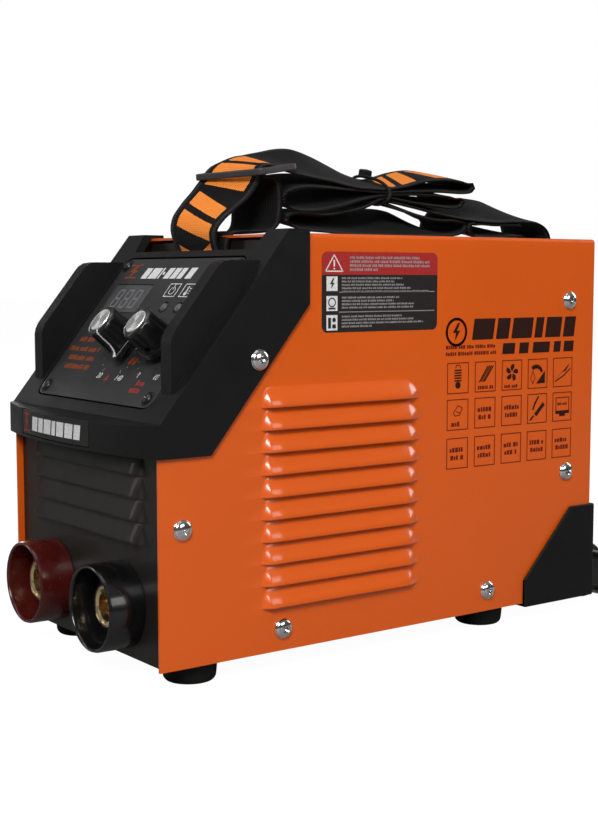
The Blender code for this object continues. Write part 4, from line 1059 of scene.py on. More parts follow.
def sockets():
    radius, rim = SOCKET_R, SOCKET_RIM
    collar = round_profile([                # (radius, y, rounding)
        (radius - 0.15, rim + 1.6, 0), (radius, 0.0, 0), (radius - 0.2, FRONT_Y - GAP, 0),
        (14.0, FRONT_Y - GAP, 0), (14.0, 12.0, 0), (9.95, 12.0, 0), (9.95, -5.4, 0.3),
        (11.4, -5.4, 0.5), (12.6, -4.6, 0.6), (12.9, -1.2, 0.9), (15.6, -1.0, 0.9),
        (16.4, -2.2, 0.9), (17.25, rim + 1.4, 0.5), (17.6, rim + 0.35, 0.4), (18.2, rim, 0.5),
        (18.8, rim + 0.3, 0)])
    contact = [(0.0, 12.0), (6.2, 11.4), (6.7, 10.6)] + round_profile([
        (6.7, -5.9, 0), (7.6, -6.8, 0.25), (9.1, -6.8, 0.35), (9.6, -6.3, 0.3),
        (9.6, 16.0, 0), (5.0, 16.0, 0), (5.0, 30.0, 0), (0.0, 30.0, 0)])
    for label, x, material in (("positive", -SOCKET_X, RED_COLLAR),
                               ("negative", SOCKET_X, BLACK_COLLAR)):
        build(f"{label}_collar_moulding", turned("Y", (x, SOCKET_Z), collar, 128, closed=True),
              material, replaces=f"{label}_collar")
        build(f"{label}_contact_turned", turned("Y", (x, SOCKET_Z), contact, 96), BRASS,
              replaces=f"{label}_contact")


# =====================================================================================
# screws
# =====================================================================================
def cross_recess(size, width, top, depth):
    """A tapered plus, as a loft of two outlines."""
    def plus(k, w):
        return [(k, w), (w, w), (w, k), (-w, k), (-w, w), (-k, w),
                (-k, -w), (-w, -w), (-w, -k), (w, -k), (w, -w), (k, -w)]
    return loft([[(x, y, top - depth) for x, y in plus(size * 0.4, width * 0.55)],
                 [(x, y, top + 0.6) for x, y in plus(size * 1.12, width * 1.12)]])


def screw(name, frame, material, dome, shank, count, recess, edge, **tags):
    """dome is (radius, base, top, angle step); recess is (size, width, depth)."""
    radius, base, top, step = dome
    angles = [math.radians(a) for a in range(step, 89, step)]
    profile = [(0.0, top)]
    profile += [(radius * math.sin(a), base + (top - base) * math.cos(a)) for a in angles]
    size, width, depth = recess
    solid(name, turned("Z", (0, 0), profile + shank, count), material, edge, smooth=40,
          dissolve=False, frame=frame, cuts=[cross_recess(size, width, top, depth)], **tags)


def side_screws():
    r = 4.65
    for side, label in ((1, "right"), (-1, "left")):
        for i, (name, (y, z)) in enumerate(SIDE_SCREWS.items()):
            seat = (BEZEL_HALF if name == "bezel" else CASE_HALF) + 0.05
            frame = at(CASE, side * seat, y, z) @ turn(side * 90, "Y") @ turn(20 + 31 * i, "Z")
            screw(f"screw_head_{label}_{name}", frame, CHROME, dome=(r * 0.93, 0.75, 2.45, 8),
                  shank=[(r - 0.06, 0.62), (r, 0.35), (r - 0.1, 0.0), (2.1, 0.0), (2.1, -6.0),
                         (0.0, -6.0)],
                  count=64, recess=(2.25, 0.42, 1.5), edge=0.12,
                  replaces=f"screw_{label}_{name}")


def plate_screws():
    r = 2.7
    seat = [(2.9, 0.0), (2.95, 0.1), (3.35, 0.22), (3.75, 0.1), (3.8, -0.04)]
    for i, (x, y) in enumerate(PLATE_SCREWS):
        frame = at(PANEL, x, y, -0.05) @ turn(35 + 50 * i, "Z")
        screw(f"plate_screw_head_{i + 1}", frame, KNOB, dome=(r * 0.95, 0.35, 1.5, 12),
              shank=[(r, 0.2), (r - 0.05, 0.0), (1.2, 0.0), (1.2, -5.0), (0, -5.0)],
              count=48, recess=(1.35, 0.3, 0.9), edge=0.08, replaces=f"plate_screw_{i + 1}")
        build(f"plate_screw_seat_{i + 1}", turned("Z", (0, 0), seat, 48, closed=True), BEZEL,
              frame, smooth=40, slot="bezel_plastic")


def rear_bumper():
    outline = [(214.0, -1.8), (264.5, -1.8), (264.5, 47.2), (246.5, 47.2), (214.0, 12.9)]
    cover = CASE_HALF + GAP
    solid("rear_bumper_moulding", prism("X", outline, -BEZEL_HALF, BEZEL_HALF), BEZEL, 0.8,
          segments=3, angle=28, cuts=[block(-cover, cover, 200.0, CASE_LEN + GAP, -GAP, 60.0)],
          replaces="rear_bumper")


def feet():
    profile = round_profile([               # (radius, z, rounding)
        (0, -GAP, 0), (12.2, -GAP, 0.3), (12.2, -3.4, 0.6), (11.7, -8.6, 1.2),
        (10.4, -10.0, 0.6), (5.2, -10.0, 0.3), (4.6, -7.2, 0.3), (0, -7.2, 0)], steps=4)
    for end, y in (("front", 25.0), ("rear", 199.0)):
        for side, x in (("right", 51.0), ("left", -51.0)):
            name = f"foot_{end}_{side}"
            build(f"{name}_rubber", turned("Z", (x, y), profile, 72), RUBBER, smooth=40,
                  replaces=name)


# =====================================================================================
# strap
# =====================================================================================
STRAP_X, STRAP_THICK, STRAP_WIDTH = -2.0, 1.3, 38.0
# (y, z, yaw): from under the buckle, down round the front anchor and back up
STRAP_FRONT = [
    (90.5, 213.2, 8), (96.6, 211.4, 7), (98.4, 205.0, 6), (98.2, 198.0, 6), (97.2, 191.6, 5),
    (93.5, 188.0, 3), (87.0, 187.1, 0), (81.0, 186.9, 0), (74.0, 186.3, 0), (70.2, 183.2, 0),
    (69.4, 177.0, 0), (69.4, 171.0, 0), (68.6, 166.9, 0), (65.7, 164.9, 0), (62.8, 166.9, 0),
    (62.3, 170.5, 0), (63.4, 174.4, 0), (64.4, 178.0, 0), (62.8, 182.5, 1), (62.2, 188.0, 4),
    (64.8, 193.6, 10), (70.6, 199.4, 16), (77.4, 205.4, 19), (82.8, 211.6, 17),
    (86.2, 217.2, 12)]
# (y, z, half width, roll, woven, yaw), the last two 0 if left out; roll tips the right edge
# down and woven turns the orange pattern on
STRAP_FOLDS = [
    (90.6, 220.0, 19, 4, 1, 8), (96.6, 221.2, 19, 10, 1, 4), (104.0, 221.0, 19, 16, 0, 1),
    (112.8, 221.2, 19, 21), (122.0, 221.6, 19, 26), (131.0, 221.2, 19, 28),
    (141.0, 218.9, 18.6, 27), (151.0, 216.3, 17.2, 24), (161.0, 214.2, 14.0, 19),
    (171.0, 213.1, 11.8, 16), (182.0, 214.8, 13.8, 14, 1), (194.8, 217.9, 17.0, 11, 1),
    (207.0, 219.2, 18.8, 11, 1), (217.0, 218.8, 19, 11), (222.6, 217.3, 19, 11),
    (224.6, 215.2, 19, 11), (222.8, 213.4, 19, 11), (216.0, 213.2, 19, 12),
    (203.0, 213.6, 18.0, 13), (188.0, 213.0, 15.0, 15), (171.0, 211.6, 11.8, 16),
    (156.0, 212.2, 14.5, 15), (142.0, 213.0, 17.5, 15), (128.0, 213.4, 19, 14),
    (116.0, 212.6, 19, 12), (107.4, 210.2, 19, 10), (103.6, 206.6, 19, 10),
    (105.0, 203.4, 19, 12), (111.0, 202.0, 19, 14), (123.0, 202.8, 19, 16),
    (138.0, 205.6, 18, 17), (154.0, 208.5, 15.0, 17), (171.0, 210.1, 11.8, 16),
    (186.0, 211.4, 15.0, 15), (200.0, 211.6, 17.5, 14), (210.0, 210.8, 18.8, 12),
    (216.2, 208.6, 19, 11), (217.0, 206.4, 19, 11), (212.6, 205.2, 19, 12),
    (202.0, 205.9, 18.0, 13), (188.0, 207.0, 15.0, 14), (171.0, 208.6, 11.8, 16),
    (156.0, 201.8, 14.5, 5), (142.0, 197.9, 17.0, 0), (128.0, 196.5, 18.6, 2),
    (116.0, 196.0, 19, -1), (107.4, 196.0, 19, 0), (104.6, 195.2, 19, 4),
    (106.6, 193.9, 19, 10), (114.0, 194.0, 19, 18), (126.0, 193.9, 19, 20),
    (145.0, 193.2, 19, 21), (168.0, 193.6, 19, 24), (190.0, 193.6, 19, 24),
    (205.0, 191.2, 19, 15), (214.6, 189.4, 19, 5), (219.8, 191.4, 19, 4),
    (220.0, 195.0, 19, 6), (214.0, 196.8, 18.6, 6), (202.0, 198.6, 17.5, 13),
    (190.0, 201.0, 15.5, 16), (178.0, 203.6, 13.0, 16), (168.0, 205.2, 11.6, 15)]
STRAP_REAR = [                              # same columns, round the rear anchor
    (158.0, 205.9, 11.5, 16), (171.0, 207.0, 11.4, 16), (186.0, 205.3, 14.0, 16),
    (200.0, 203.2, 16.5, 16), (214.0, 202.2, 18.5, 18), (228.0, 202.0, 19, 21),
    (242.0, 202.0, 19, 23), (254.0, 202.2, 19, 22), (265.0, 201.4, 19, 19),
    (275.0, 198.6, 19, 13), (281.6, 192.6, 19, 7), (283.8, 184.6, 19, 2),
    (281.4, 174.0, 19, 0), (275.6, 165.4, 19, 0), (269.6, 165.2, 19, 0),
    (268.6, 172.0, 19, 0), (268.4, 180.0, 19, 0), (266.2, 186.8, 19, 2, 1),
    (259.0, 190.6, 19, 9, 1), (248.0, 190.8, 19, 13, 1), (236.0, 190.4, 19, 13, 1),
    (227.0, 190.0, 19, 9, 1), (223.8, 191.8, 19, 5), (225.0, 196.0, 19, 12),
    (233.0, 198.8, 18.6, 18), (242.0, 199.6, 18.6, 21), (253.0, 199.6, 18.6, 20),
    (263.0, 198.6, 18.6, 17)]


def station(y, z, half, roll, woven=0, yaw=0):
    return (STRAP_X, y, z, half, STRAP_THICK, roll, woven, yaw)


def webbing_section(half, thick, segments):
    """(share across, height) round a flat section that thins over its outer 1.2 mm."""
    top = []
    for k in range(segments + 1):
        u = k / segments
        inset = min(u, 1 - u) * 2 * half
        full = 1.0
        if inset <= 1.2:
            full = math.sqrt(max(0.0, 1 - (1 - inset / 1.2) ** 2)) * 0.75 + 0.25
        top.append((u, thick / 2 * full))
    return top + [(u, -height) for u, height in reversed(top)]


def ribbon(name, table, origin, **tags):
    """Webbing through the stations; the pattern starts at origin mm along it."""
    segments = 18
    points = spline([station(*row) for row in table], step=2.2)
    sections, uvs, flags = [], [], []
    travelled = 0.0
    for i, (x, y, z, half, thick, roll, woven, yaw) in enumerate(points):
        before, after = points[max(i - 1, 0)], points[min(i + 1, len(points) - 1)]
        ahead = (Vector(after[:3]) - Vector(before[:3])).normalized()
        if i:
            travelled += math.dist(points[i][:3], before[:3])
        roll, yaw = math.radians(roll), math.radians(yaw)
        across = Vector((math.cos(roll) * math.cos(yaw), math.sin(yaw), -math.sin(roll)))
        across = (across - ahead * across.dot(ahead)).normalized()
        up = across.cross(ahead)
        # slow waves cup the webbing along its middle
        cup = 0.35 * math.sin(travelled * 0.11 + x) + 0.25 * math.sin(travelled * 0.043 + 1.3)
        ring = []
        for u, height in webbing_section(half, thick, segments):
            bend = cup * (1 - (2 * u - 1) ** 2)
            ring.append(Vector((x, y, z)) + across * half * (2 * u - 1) + up * (height + bend))
            uvs.append((u, (travelled - origin) / STRAP_WIDTH))
            flags.append(woven)
        sections.append(ring)
    mesh = new_mesh(name, loft(sections))
    mesh.materials.append(WEB_FACE)
    mesh.materials.append(WEB_BACK)
    side_faces = (len(sections) - 1) * len(sections[0])
    layer = mesh.uv_layers.new(name="strap")
    for face in mesh.polygons:
        on_top = face.index < side_faces and face.index % len(sections[0]) < segments
        face.material_index = 0 if on_top else 1
        for loop in face.loop_indices:
            layer.data[loop].uv = uvs[mesh.loops[loop].vertex_index]
    attribute = mesh.attributes.new("woven", "FLOAT", "POINT")
    for i, flag in enumerate(flags):
        attribute.data[i].value = flag
    tidy(mesh, outward=True)
    ob = add_object(name, mesh, CASE)
    shade_by_angle(mesh, 50)
    tag(ob, "case", slot="webbing", **tags)


def strap():
    front = [(y, z, 18.8, int(i >= 19), int(i > 15), yaw)
             for i, (y, z, yaw) in enumerate(STRAP_FRONT)]
    ribbon("carry_strap_webbing", front + STRAP_FOLDS, origin=128.0, replaces="carry_strap")
    ribbon("carry_strap_rear", STRAP_REAR, origin=20.0)


def strap_buckle():
    frame = at(CASE, STRAP_X, 92.0, 216.2) @ turn(12, "Z") @ turn(-1, "Y") @ turn(9, "X")
    slots = [prism("Z", rounded(-19.8, 19.8, low, high, 0.8, 3), -4, 4)
             for low, high in ((-10.4, -2.0), (2.0, 10.4))]
    solid("strap_buckle_frame", prism("Z", rounded(-22.8, 22.8, -13.5, 13.5, 3.5, 8), -1.6, 1.6),
          BUCKLE, 0.85, segments=4, frame=frame, cuts=slots, replaces="strap_buckle")


def strap_tie():
    """A tie round the folded strap, with its square head on top."""
    angles = [2 * math.pi * i / 96 for i in range(96)]
    ring = [(STRAP_X + 15.0 * math.cos(a), 170.0 + 1.5 * math.sin(2 * a),
             210.2 + 6.5 * math.sin(a) - 4.0 * math.cos(a)) for a in angles]
    build("strap_tie_wire", tube(ring, 0.8, 14, closed=True), RUBBER, smooth=60,
          replaces="strap_tie")
    solid("strap_tie_head", prism("Z", rounded(-2.9, 2.9, -2.6, 2.6, 1.0, 5), -2.1, 2.1), RUBBER,
          0.6, segments=3, frame=at(CASE, -9.5, 172.4, 219.2) @ turn(14, "Y"), slot="rubber")


def strap_anchors():
    front_slot = NODE_SLOT["strap_anchor_front"]
    solid("front_anchor_plate", block(-58.0, 58.0, 71.6, 73.1, 158.0, 182.6), BLACK_PAINT, 0.3,
          replaces="strap_anchor_front")
    solid("front_anchor_flange", block(-58.0, 58.0, 73.05, 90.0, 181.2, 182.5), BLACK_PAINT, 0.3,
          slot=front_slot)
    solid("bezel_notch_floor", block(-66.0, 66.0, 46.8, 71.4, 156.8, 157.8), BEZEL, 0.2,
          slot="bezel_plastic")
    joins = [block(21.0, 24.5, 69.4, 71.5, 162.0, 174.5),
             block(-27.0, -25.0, 61.0, 71.2, 164.0, 172.5),
             block(21.0, 23.0, 61.0, 71.2, 164.0, 172.5),
             cylinder("X", (65.6, 168.2), 2.0, -26.0, 22.0, 40)]
    solid("front_anchor_bar", block(-28.5, -25.0, 69.4, 71.5, 162.0, 174.5), ZINC, 0.3,
          joins=joins, slot=front_slot)
    ear = [(REAR_Y + 1.0, 163.0), (273.0, 163.0), (275.0, 164.0), (276.0, 166.0),
           (276.0, 169.0), (275.0, 171.5), (272.0, 173.0), (268.0, 174.0), (REAR_Y + 1.0, 174.0)]
    joins = [prism("X", ear, -27.0, -25.0), prism("X", ear, 21.0, 23.0),
             cylinder("X", (272.4, 167.3), 2.0, -26.0, 22.0, 40)]
    solid("rear_anchor_plate", block(-30.0, 26.0, REAR_Y + GAP, REAR_Y + 1.8, 168.5, 181.0),
          ZINC, 0.3, joins=joins, replaces="strap_anchor_rear")


# =====================================================================================
# back
# =====================================================================================
def fan_frame():
    half, centre = FAN_SIZE / 2, (FAN_X, FAN_Z)
    outline = rounded(FAN_X - half, FAN_X + half, FAN_Z - half, FAN_Z + half, 4.0, 8)
    ob = build("fan_housing", prism("Y", outline, FAN_FRONT, FAN_REAR), FAN_PLASTIC, smooth=0,
               replaces="fan_frame")
    boolean(ob, [cylinder("Y", centre, 38.2, FAN_FRONT - 2, FAN_REAR + 2, 96)])
    struts = []
    for a in DIAGONALS:
        strut = [(FAN_X + r * math.cos(a) + side * math.sin(a),
                  FAN_Z + r * math.sin(a) - side * math.cos(a))
                 for r, side in ((12, -2), (39.5, -2), (39.5, 2), (12, 2))]
        struts.append(prism("Y", strut, FAN_FRONT + 0.2, FAN_FRONT + 3.0))
    hub = cylinder("Y", centre, 15.0, FAN_FRONT + 0.1, FAN_FRONT + 3.4, 64)
    boolean(ob, struts + [hub], "UNION")
    soften(ob, 0.3)


def fan_blade(index):
    """One of seven swept blades, its pitch easing towards the tip."""
    inner, outer, half_chord, steps = 14.2, 36.7, 7.2, 10
    upper = [(-half_chord + 2 * half_chord * k / steps,
              0.62 * math.sqrt(max(0.02, 1 - ((k / steps) * 2 - 1) ** 4)))
             for k in range(steps + 1)]
    outline = upper + [(chord, -height) for chord, height in reversed(upper)]
    sections = []
    for q in range(13):
        r = inner + (outer - inner) * q / 12
        pitch = math.radians(52 - 18 * (r - 13) / 23.6)
        sweep = math.radians(360 * index / 7 + (r - 13) * 0.9)
        section = []
        for chord, height in outline:
            height += 1.3 * (1 - (chord / half_chord) ** 2)
            along = chord * math.cos(pitch) - height * math.sin(pitch)
            axial = chord * math.sin(pitch) + height * math.cos(pitch)
            section.append((r * math.cos(sweep) - along * math.sin(sweep), axial,
                            r * math.sin(sweep) + along * math.cos(sweep)))
        sections.append(section)
    return loft(sections)


def fan_rotor():
    frame = at(CASE, FAN_X, (FAN_FRONT + FAN_REAR) / 2 + 1.0, FAN_Z)
    hub = round_profile([                   # (radius, y, rounding)
        (0, -8.0, 0), (15.5, -8.0, 0.4), (15.5, 9.0, 0.8), (14.5, 10.0, 0.8), (5.0, 10.0, 0.3),
        (4.4, 9.4, 0.3), (0, 9.4, 0)])
    shapes = [turned("Y", (0, 0), hub, 96)] + [fan_blade(i) for i in range(7)]
    build("fan_rotor_moulding", together(*shapes), FAN_PLASTIC, frame, "rotor", smooth=35,
          replaces="fan_rotor")
    label = [(0, 9.42), (3.9, 9.42), (4.0, 9.5), (3.9, 9.58), (0, 9.58)]
    build("fan_hub_label", turned("Y", (0, 0), label, 64), INK_GREY, frame, "rotor",
          slot="bezel_plastic")


def fan_guard():
    """Four wire rings on four spokes, each ending at a screwed eye."""
    y, eye_r = REAR_Y + GAP + 1.3, 44.0
    eye = []
    for k in range(10):
        a = 2 * math.pi * k / 10
        eye.append((2.2 + 0.9 * math.cos(a), y + 0.8 * math.sin(a)))
    shapes = [turned("Y", (FAN_X, FAN_Z), circle(r, y, 1.0, 14), 120, closed=True)
              for r in (38.0, 29.0, 20.0, 11.0)]
    spoke = ((9.0, 0.9), (20.0, 1.1), (30.0, 1.1), (37.0, 1.0), (39.5, 0.5), (41.0, 0.0))
    for a in DIAGONALS:
        cos, sin = math.cos(a), math.sin(a)
        shapes.append(tube([(FAN_X + r * cos, y + rise, FAN_Z + r * sin) for r, rise in spoke],
                           1.0, 14))
        shapes.append(turned("Y", (FAN_X + eye_r * cos, FAN_Z + eye_r * sin), eye, 40,
                             closed=True))
    build("fan_guard_wire", together(*shapes), WIRE, smooth=60, replaces="fan_guard")
    for i, a in enumerate(DIAGONALS):
        place = at(CASE, FAN_X + eye_r * math.cos(a), y + 0.8, FAN_Z + eye_r * math.sin(a))
        frame = place @ turn(-90, "X") @ Matrix.Rotation(0.5 + i, 4, "Z")
        screw(f"fan_screw_{i + 1}", frame, CHROME, dome=(3.0, 0, 1.6, 12),
              shank=[(3.1, 0.0), (1.3, 0.0), (1.3, -3.0), (0, -3.0)], count=40,
              recess=(1.5, 0.3, 0.9), edge=0.08, slot="chrome")


KEY_BOTTOM, KEY_TOP = -11.9, 10.9


def key_y(z):
    """The dished face of the rocker key, whose halves meet at z = 0."""
    if z <= 0:
        start, end, share = 3.6, 2.45, (z - KEY_BOTTOM) / -KEY_BOTTOM
    else:
        start, end, share = 2.45, 6.2, z / KEY_TOP
    return start + (end - start) * share - 0.55 * math.sin(math.pi * share)


def switch():
    x, z = SWITCH_X, SWITCH_Z
    outline = rounded(x - 13.0, x + 13.0, z - 16.0, z + 16.0, 1.5, 5)
    body = block(x - 10.8, x + 10.8, REAR_Y - 22.0, REAR_Y + 1.0, z - 13.8, z + 13.8)
    well = block(x - 9.6, x + 9.6, REAR_Y - 9.5, REAR_Y + 6.0, z - 12.6, z + 12.6)
    solid("switch_frame", prism("Y", outline, REAR_Y + GAP, REAR_Y + 2.6), KNOB, 0.5,
          segments=3, joins=[body], cuts=[well], replaces="switch_housing")

    frame = at(CASE, x, REAR_Y - 1.0, z)
    heights = [KEY_BOTTOM - KEY_BOTTOM * k / 10 for k in range(11)]
    heights += [KEY_TOP * k / 10 for k in range(1, 11)]
    outline = [(-8.0, -10.6), (1.5, -11.8)] + [(key_y(height), height) for height in heights]
    outline += [(4.4, 11.5), (-6.0, 8.0), (-8.0, 2.0)]
    solid("switch_rocker_key", prism("X", outline, -9.2, 9.2), KNOB, 0.35, segments=3, angle=35,
          smooth=35, frame=frame, body="rocker", replaces="switch_rocker")

    # an upright bar and a ring, each lying on its half of the key
    def on_key(x, z):
        return (x, key_y(z) + 0.03, z)
    bar = [on_key(-0.45, 3.6 + 4.2 * k / 6) for k in range(7)]
    bar += [on_key(0.45, 7.8 - 4.2 * k / 6) for k in range(7)]
    top = [(px, py + 0.06, pz) for px, py, pz in bar]
    build("rocker_mark_on", loft([bar, top]), INK_WHITE, frame, "rocker", smooth=0,
          slot="knob_black")
    path = [on_key(px, pz) for px, pz in circle(0.0, -6.2, 2.0, 48)]
    build("rocker_mark_off", tube(path, 0.3, 8, closed=True), INK_WHITE, frame, "rocker",
          smooth=60, slot="knob_black")


def cord_gland():
    x, z, rear = GLAND_X, GLAND_Z, REAR_Y
    profile = round_profile([               # (radius, y, rounding)
        (8.0, rear - 9.0, 0), (8.0, rear + 0.35, 0), (11.5, rear + 0.35, 0.5),
        (11.5, rear + 3.0, 0.6), (10.6, rear + 3.4, 0.3), (10.6, rear + 6.4, 0.8),
        (9.2, rear + 10.0, 0.8), (6.4, rear + 13.0, 0.6), (4.9, rear + 13.0, 0),
        (4.9, rear - 9.0, 0)])
    build("cord_gland_body", turned("Y", (x, z), profile, 72, closed=True), CORD, smooth=35,
          replaces="cord_gland")
    ridge = ((10.7, rear + 3.6), (10.7, rear + 6.2), (10.1, rear + 8.2))
    ridges = []
    for i in range(18):
        a = 2 * math.pi * i / 18
        path = [(x + r * math.cos(a), y, z + r * math.sin(a)) for r, y in ridge]
        ridges.append(tube(path, 0.55, 8))
    build("cord_gland_ridges", together(*ridges), CORD, smooth=60, slot="rubber")


def power_cord():
    """The cord drops from the gland to the floor and ends in a two-pin plug."""
    x, z = GLAND_X, GLAND_Z
    path = [
        (x, 240.0, z), (x, 256.0, z), (x, 272.0, z), (x + 1.0, 283.0, z - 4.0),
        (x + 4.0, 288.5, z - 17.0), (x + 9.0, 288.0, z - 36.0), (x + 15.0, 285.5, z - 55.0),
        (x + 24.0, 284.0, z - 67.0), (x + 35.0, 283.5, 0.8), (x + 45.0, 283.5, 3.5),
        (x + 54.0, 283.5, 5.5)]
    build("power_cord_cable", tube(spline(path, step=1.6), 4.3, 28), CORD, smooth=60,
          replaces="power_cord")
    plug = at(CASE, x + 50.0, 283.5, 5.5)
    profile = [(0, -7.0, 0), (4.8, -7.0, 0.2), (5.2, -6.4, 0.2)]    # (radius, x, rounding)
    for k in range(5):                      # strain relief grooves
        crest, valley, start = 5.3 + 0.2 * k, 4.7 + 0.25 * k, 3.0 * k
        profile += [(crest, -5.6 + start, 0.25), (crest, -4.0 + start, 0.25),
                    (valley, -3.7 + start, 0.25), (valley, -2.9 + start, 0.25)]
    profile += [(7.2, 9.4, 0.5), (9.0, 12.0, 1.2), (12.5, 20.0, 2.0), (15.0, 24.0, 1.2),
                (15.2, 25.0, 0.6), (15.2, 35.0, 0.6), (14.4, 36.0, 0.5), (0, 36.0, 0)]
    build("power_plug_body", turned("X", (0, 0), round_profile(profile), 72), CORD, plug,
          smooth=35, slot="rubber")
    pin = [(0, 34.0), (2.4, 34.0), (2.4, 52.6), (2.1, 54.0), (1.3, 55.0), (0, 55.0)]
    pins = [turned("X", (0.0, side * 9.5), pin, 32) for side in (-1, 1)]
    build("power_plug_pins", together(*pins), CHROME, plug, smooth=35, slot="chrome")


# =====================================================================================
# printed marks: thin raised films
# =====================================================================================
def rect(x0, x1, y0, y1, lean=0.0):
    return [(x0, y0), (x1, y0), (x1 + lean * (y1 - y0), y1), (x0 + lean * (y1 - y0), y1)]


BOLT = [(0.62, 1.0), (0.18, 0.46), (0.46, 0.46), (0.34, 0.0), (0.82, 0.58), (0.54, 0.58),
        (0.80, 1.0)]
EMBLEM = (rect(0, 1, 0, 0.1), rect(0, 1, 0.9, 1), BOLT)     # a bolt between two bars


def fit(polygon, x0, x1, y0, y1, lean=0.0):
    """A 0..1 outline put into a box, with an italic lean."""
    return [(x0 + (x1 - x0) * u + lean * (y1 - y0) * v, y0 + (y1 - y0) * v) for u, v in polygon]


def shift(points, x, y):
    return [(x + px, y + py) for px, py in points]


def stroke(points, width, closed=False):
    """A rectangle for each piece of a line, running a little past its ends."""
    out = []
    points = list(points) + ([points[0]] if closed else [])
    for (x0, y0), (x1, y1) in zip(points, points[1:]):
        length = math.hypot(x1 - x0, y1 - y0)
        ux, uy = (x1 - x0) / length, (y1 - y0) / length
        over = width * 0.28
        x0, y0, x1, y1 = x0 - ux * over, y0 - uy * over, x1 + ux * over, y1 + uy * over
        side_x, side_y = uy * width / 2, ux * width / 2
        out.append([(x0 + side_x, y0 - side_y), (x1 + side_x, y1 - side_y),
                    (x1 - side_x, y1 + side_y), (x0 - side_x, y0 + side_y)])
    return out


def ring_stroke(x, y, radius, count, width):
    return stroke(arc(x, y, radius, 0, 360, count)[:-1], width, closed=True)


def box_stroke(x0, x1, y0, y1, width):
    return [rect(x0, x1, y0, y0 + width), rect(x0, x1, y1 - width, y1),
            rect(x0, x0 + width, y0 + width, y1 - width),
            rect(x1 - width, x1, y0 + width, y1 - width)]


def filler_text(x, end, y, height, seed, lean=0.0):
    """A line of small blocks that stands for writing without being any."""
    def draw(state):
        return (state * 1103515245 + 12345) % 2147483648

    out, state = [], seed
    while x < end - 0.5 * height:
        state = draw(state)
        for _ in range(3 + state % 6):
            state = draw(state)
            width = height * (0.42 + 0.12 * (state % 4))
            if x + width > end:
                break
            tall = height * (1.0 if (state >> 4) % 3 else 0.8)
            out.append(rect(x, x + width, y, y + tall, lean))
            x += width + height * 0.24
        x += height * 0.5
    return out


def bar_row(x, widths, gap, y0, y1, lean):
    bars = []
    for width in widths:
        bars.append(rect(x, x + width, y0, y1, lean))
        x += width + gap
    return bars


def print_film(name, polygons, material, axis, low, high, slot, frame=CASE):
    build(name, together(*[prism(axis, polygon, low, high) for polygon in polygons]), material,
          frame, smooth=0, slot=slot)


# Icons are drawn in a cell and return (red polygons, black polygons).
Cell = namedtuple("Cell", "left right bottom top x y")


def icon_bars_over_disc(c):
    bars = [rect(c.x - 2.3, c.x + 2.3, c.y - 1.6 + 1.25 * k, c.y - 0.9 + 1.25 * k)
            for k in range(5)]
    return (stroke(arc(c.x, c.y + 4.8, 1.6, 0, 180, 10), 0.4),
            [circle(c.x, c.y - 3.4, 1.7, 20)] + bars)


def icon_slanted_lines(c):
    black = []
    for k in range(4):
        line = [(3.0 + 1.2 * k, 5.3 if k % 2 else 5.0), (8.6 + 1.2 * k, 12.6)]
        black += stroke(shift(line, c.left, c.bottom), 0.62)
    return filler_text(c.left + 2.0, c.right - 1.6, c.bottom + 1.4, 1.7, 23), black


def icon_five_blades(c):
    blade = [(0.5, 0.2), (2.0, 1.9), (4.0, 1.5), (4.4, -0.4), (2.4, -0.5)]
    black = []
    for k in range(5):
        cos, sin = math.cos(math.radians(72 * k)), math.sin(math.radians(72 * k))
        turned_blade = [(x * cos - y * sin, x * sin + y * cos) for x, y in blade]
        black.append(shift(turned_blade, c.x, c.y + 1.2))
    return filler_text(c.left + 1.8, c.right - 1.8, c.bottom + 1.2, 1.6, 31), black


def icon_curved_band(c):
    outer = arc(c.x - 1.2, c.y - 0.6, 5.2, 20, 130, 14)
    inner = arc(c.x - 1.0, c.y - 1.0, 3.6, 20, 130, 14)
    black = [list(quad) for quad in zip(outer, outer[1:], inner[1:], inner)]
    black.append(shift([(-1.0, -5.0), (5.2, -5.0), (5.2, 1.2)], c.x, c.y))
    diamond = [(-5.0, -2.2), (-3.4, 1.4), (-1.8, -2.2), (-3.4, -5.0)]
    return stroke(shift(diamond, c.x, c.y), 0.35, closed=True), black


def icon_wing(c):
    wing = [(-5.6, -3.6), (0.4, 0.6), (5.0, 4.4), (2.4, 0.8), (-0.6, -0.2)]
    line = [(-5.4, -4.6), (1.0, -1.6), (5.4, 1.6)]
    return [], [shift(wing, c.x, c.y)] + stroke(shift(line, c.x, c.y), 0.6)


def icon_tilted_outline(c):
    outline = [(-2.8, 1.0), (0.2, 4.4), (3.0, 3.2), (1.4, -0.2), (-1.6, -0.6)]
    red = stroke(shift(outline, c.x, c.y), 0.4, closed=True)
    red += stroke(shift([(-1.0, 1.6), (1.6, 0.6)], c.x, c.y), 0.4)
    return red + filler_text(c.left + 3.0, c.right - 2.6, c.bottom + 1.8, 2.3, 41), []


def icon_slanted_bars(c):
    long_bar = [(-2.0, -2.6), (-0.6, -4.0), (5.4, 1.6), (4.0, 3.0)]
    short_bar = [(-5.4, -5.6), (-4.6, -6.2), (-2.2, -3.9), (-2.9, -3.2)]
    line = [(-3.0, -0.4), (-1.8, 2.4), (0.8, 6.0)]
    return [], ([shift(long_bar, c.x, c.y), shift(short_bar, c.x, c.y)]
                + stroke(shift(line, c.x, c.y), 0.9))


def icon_screen(c):
    red = box_stroke(c.left + 2.2, c.right - 1.8, c.bottom + 5.0, c.top - 2.6, 0.5)
    red += filler_text(c.left + 3.6, c.right - 3.0, c.y + 0.8, 1.3, 53)
    return red, [rect(c.left + 2.2, c.right - 1.8, c.bottom + 3.9, c.bottom + 5.2),
                 rect(c.x - 2.0, c.x + 2.2, c.bottom + 2.6, c.bottom + 3.9)]


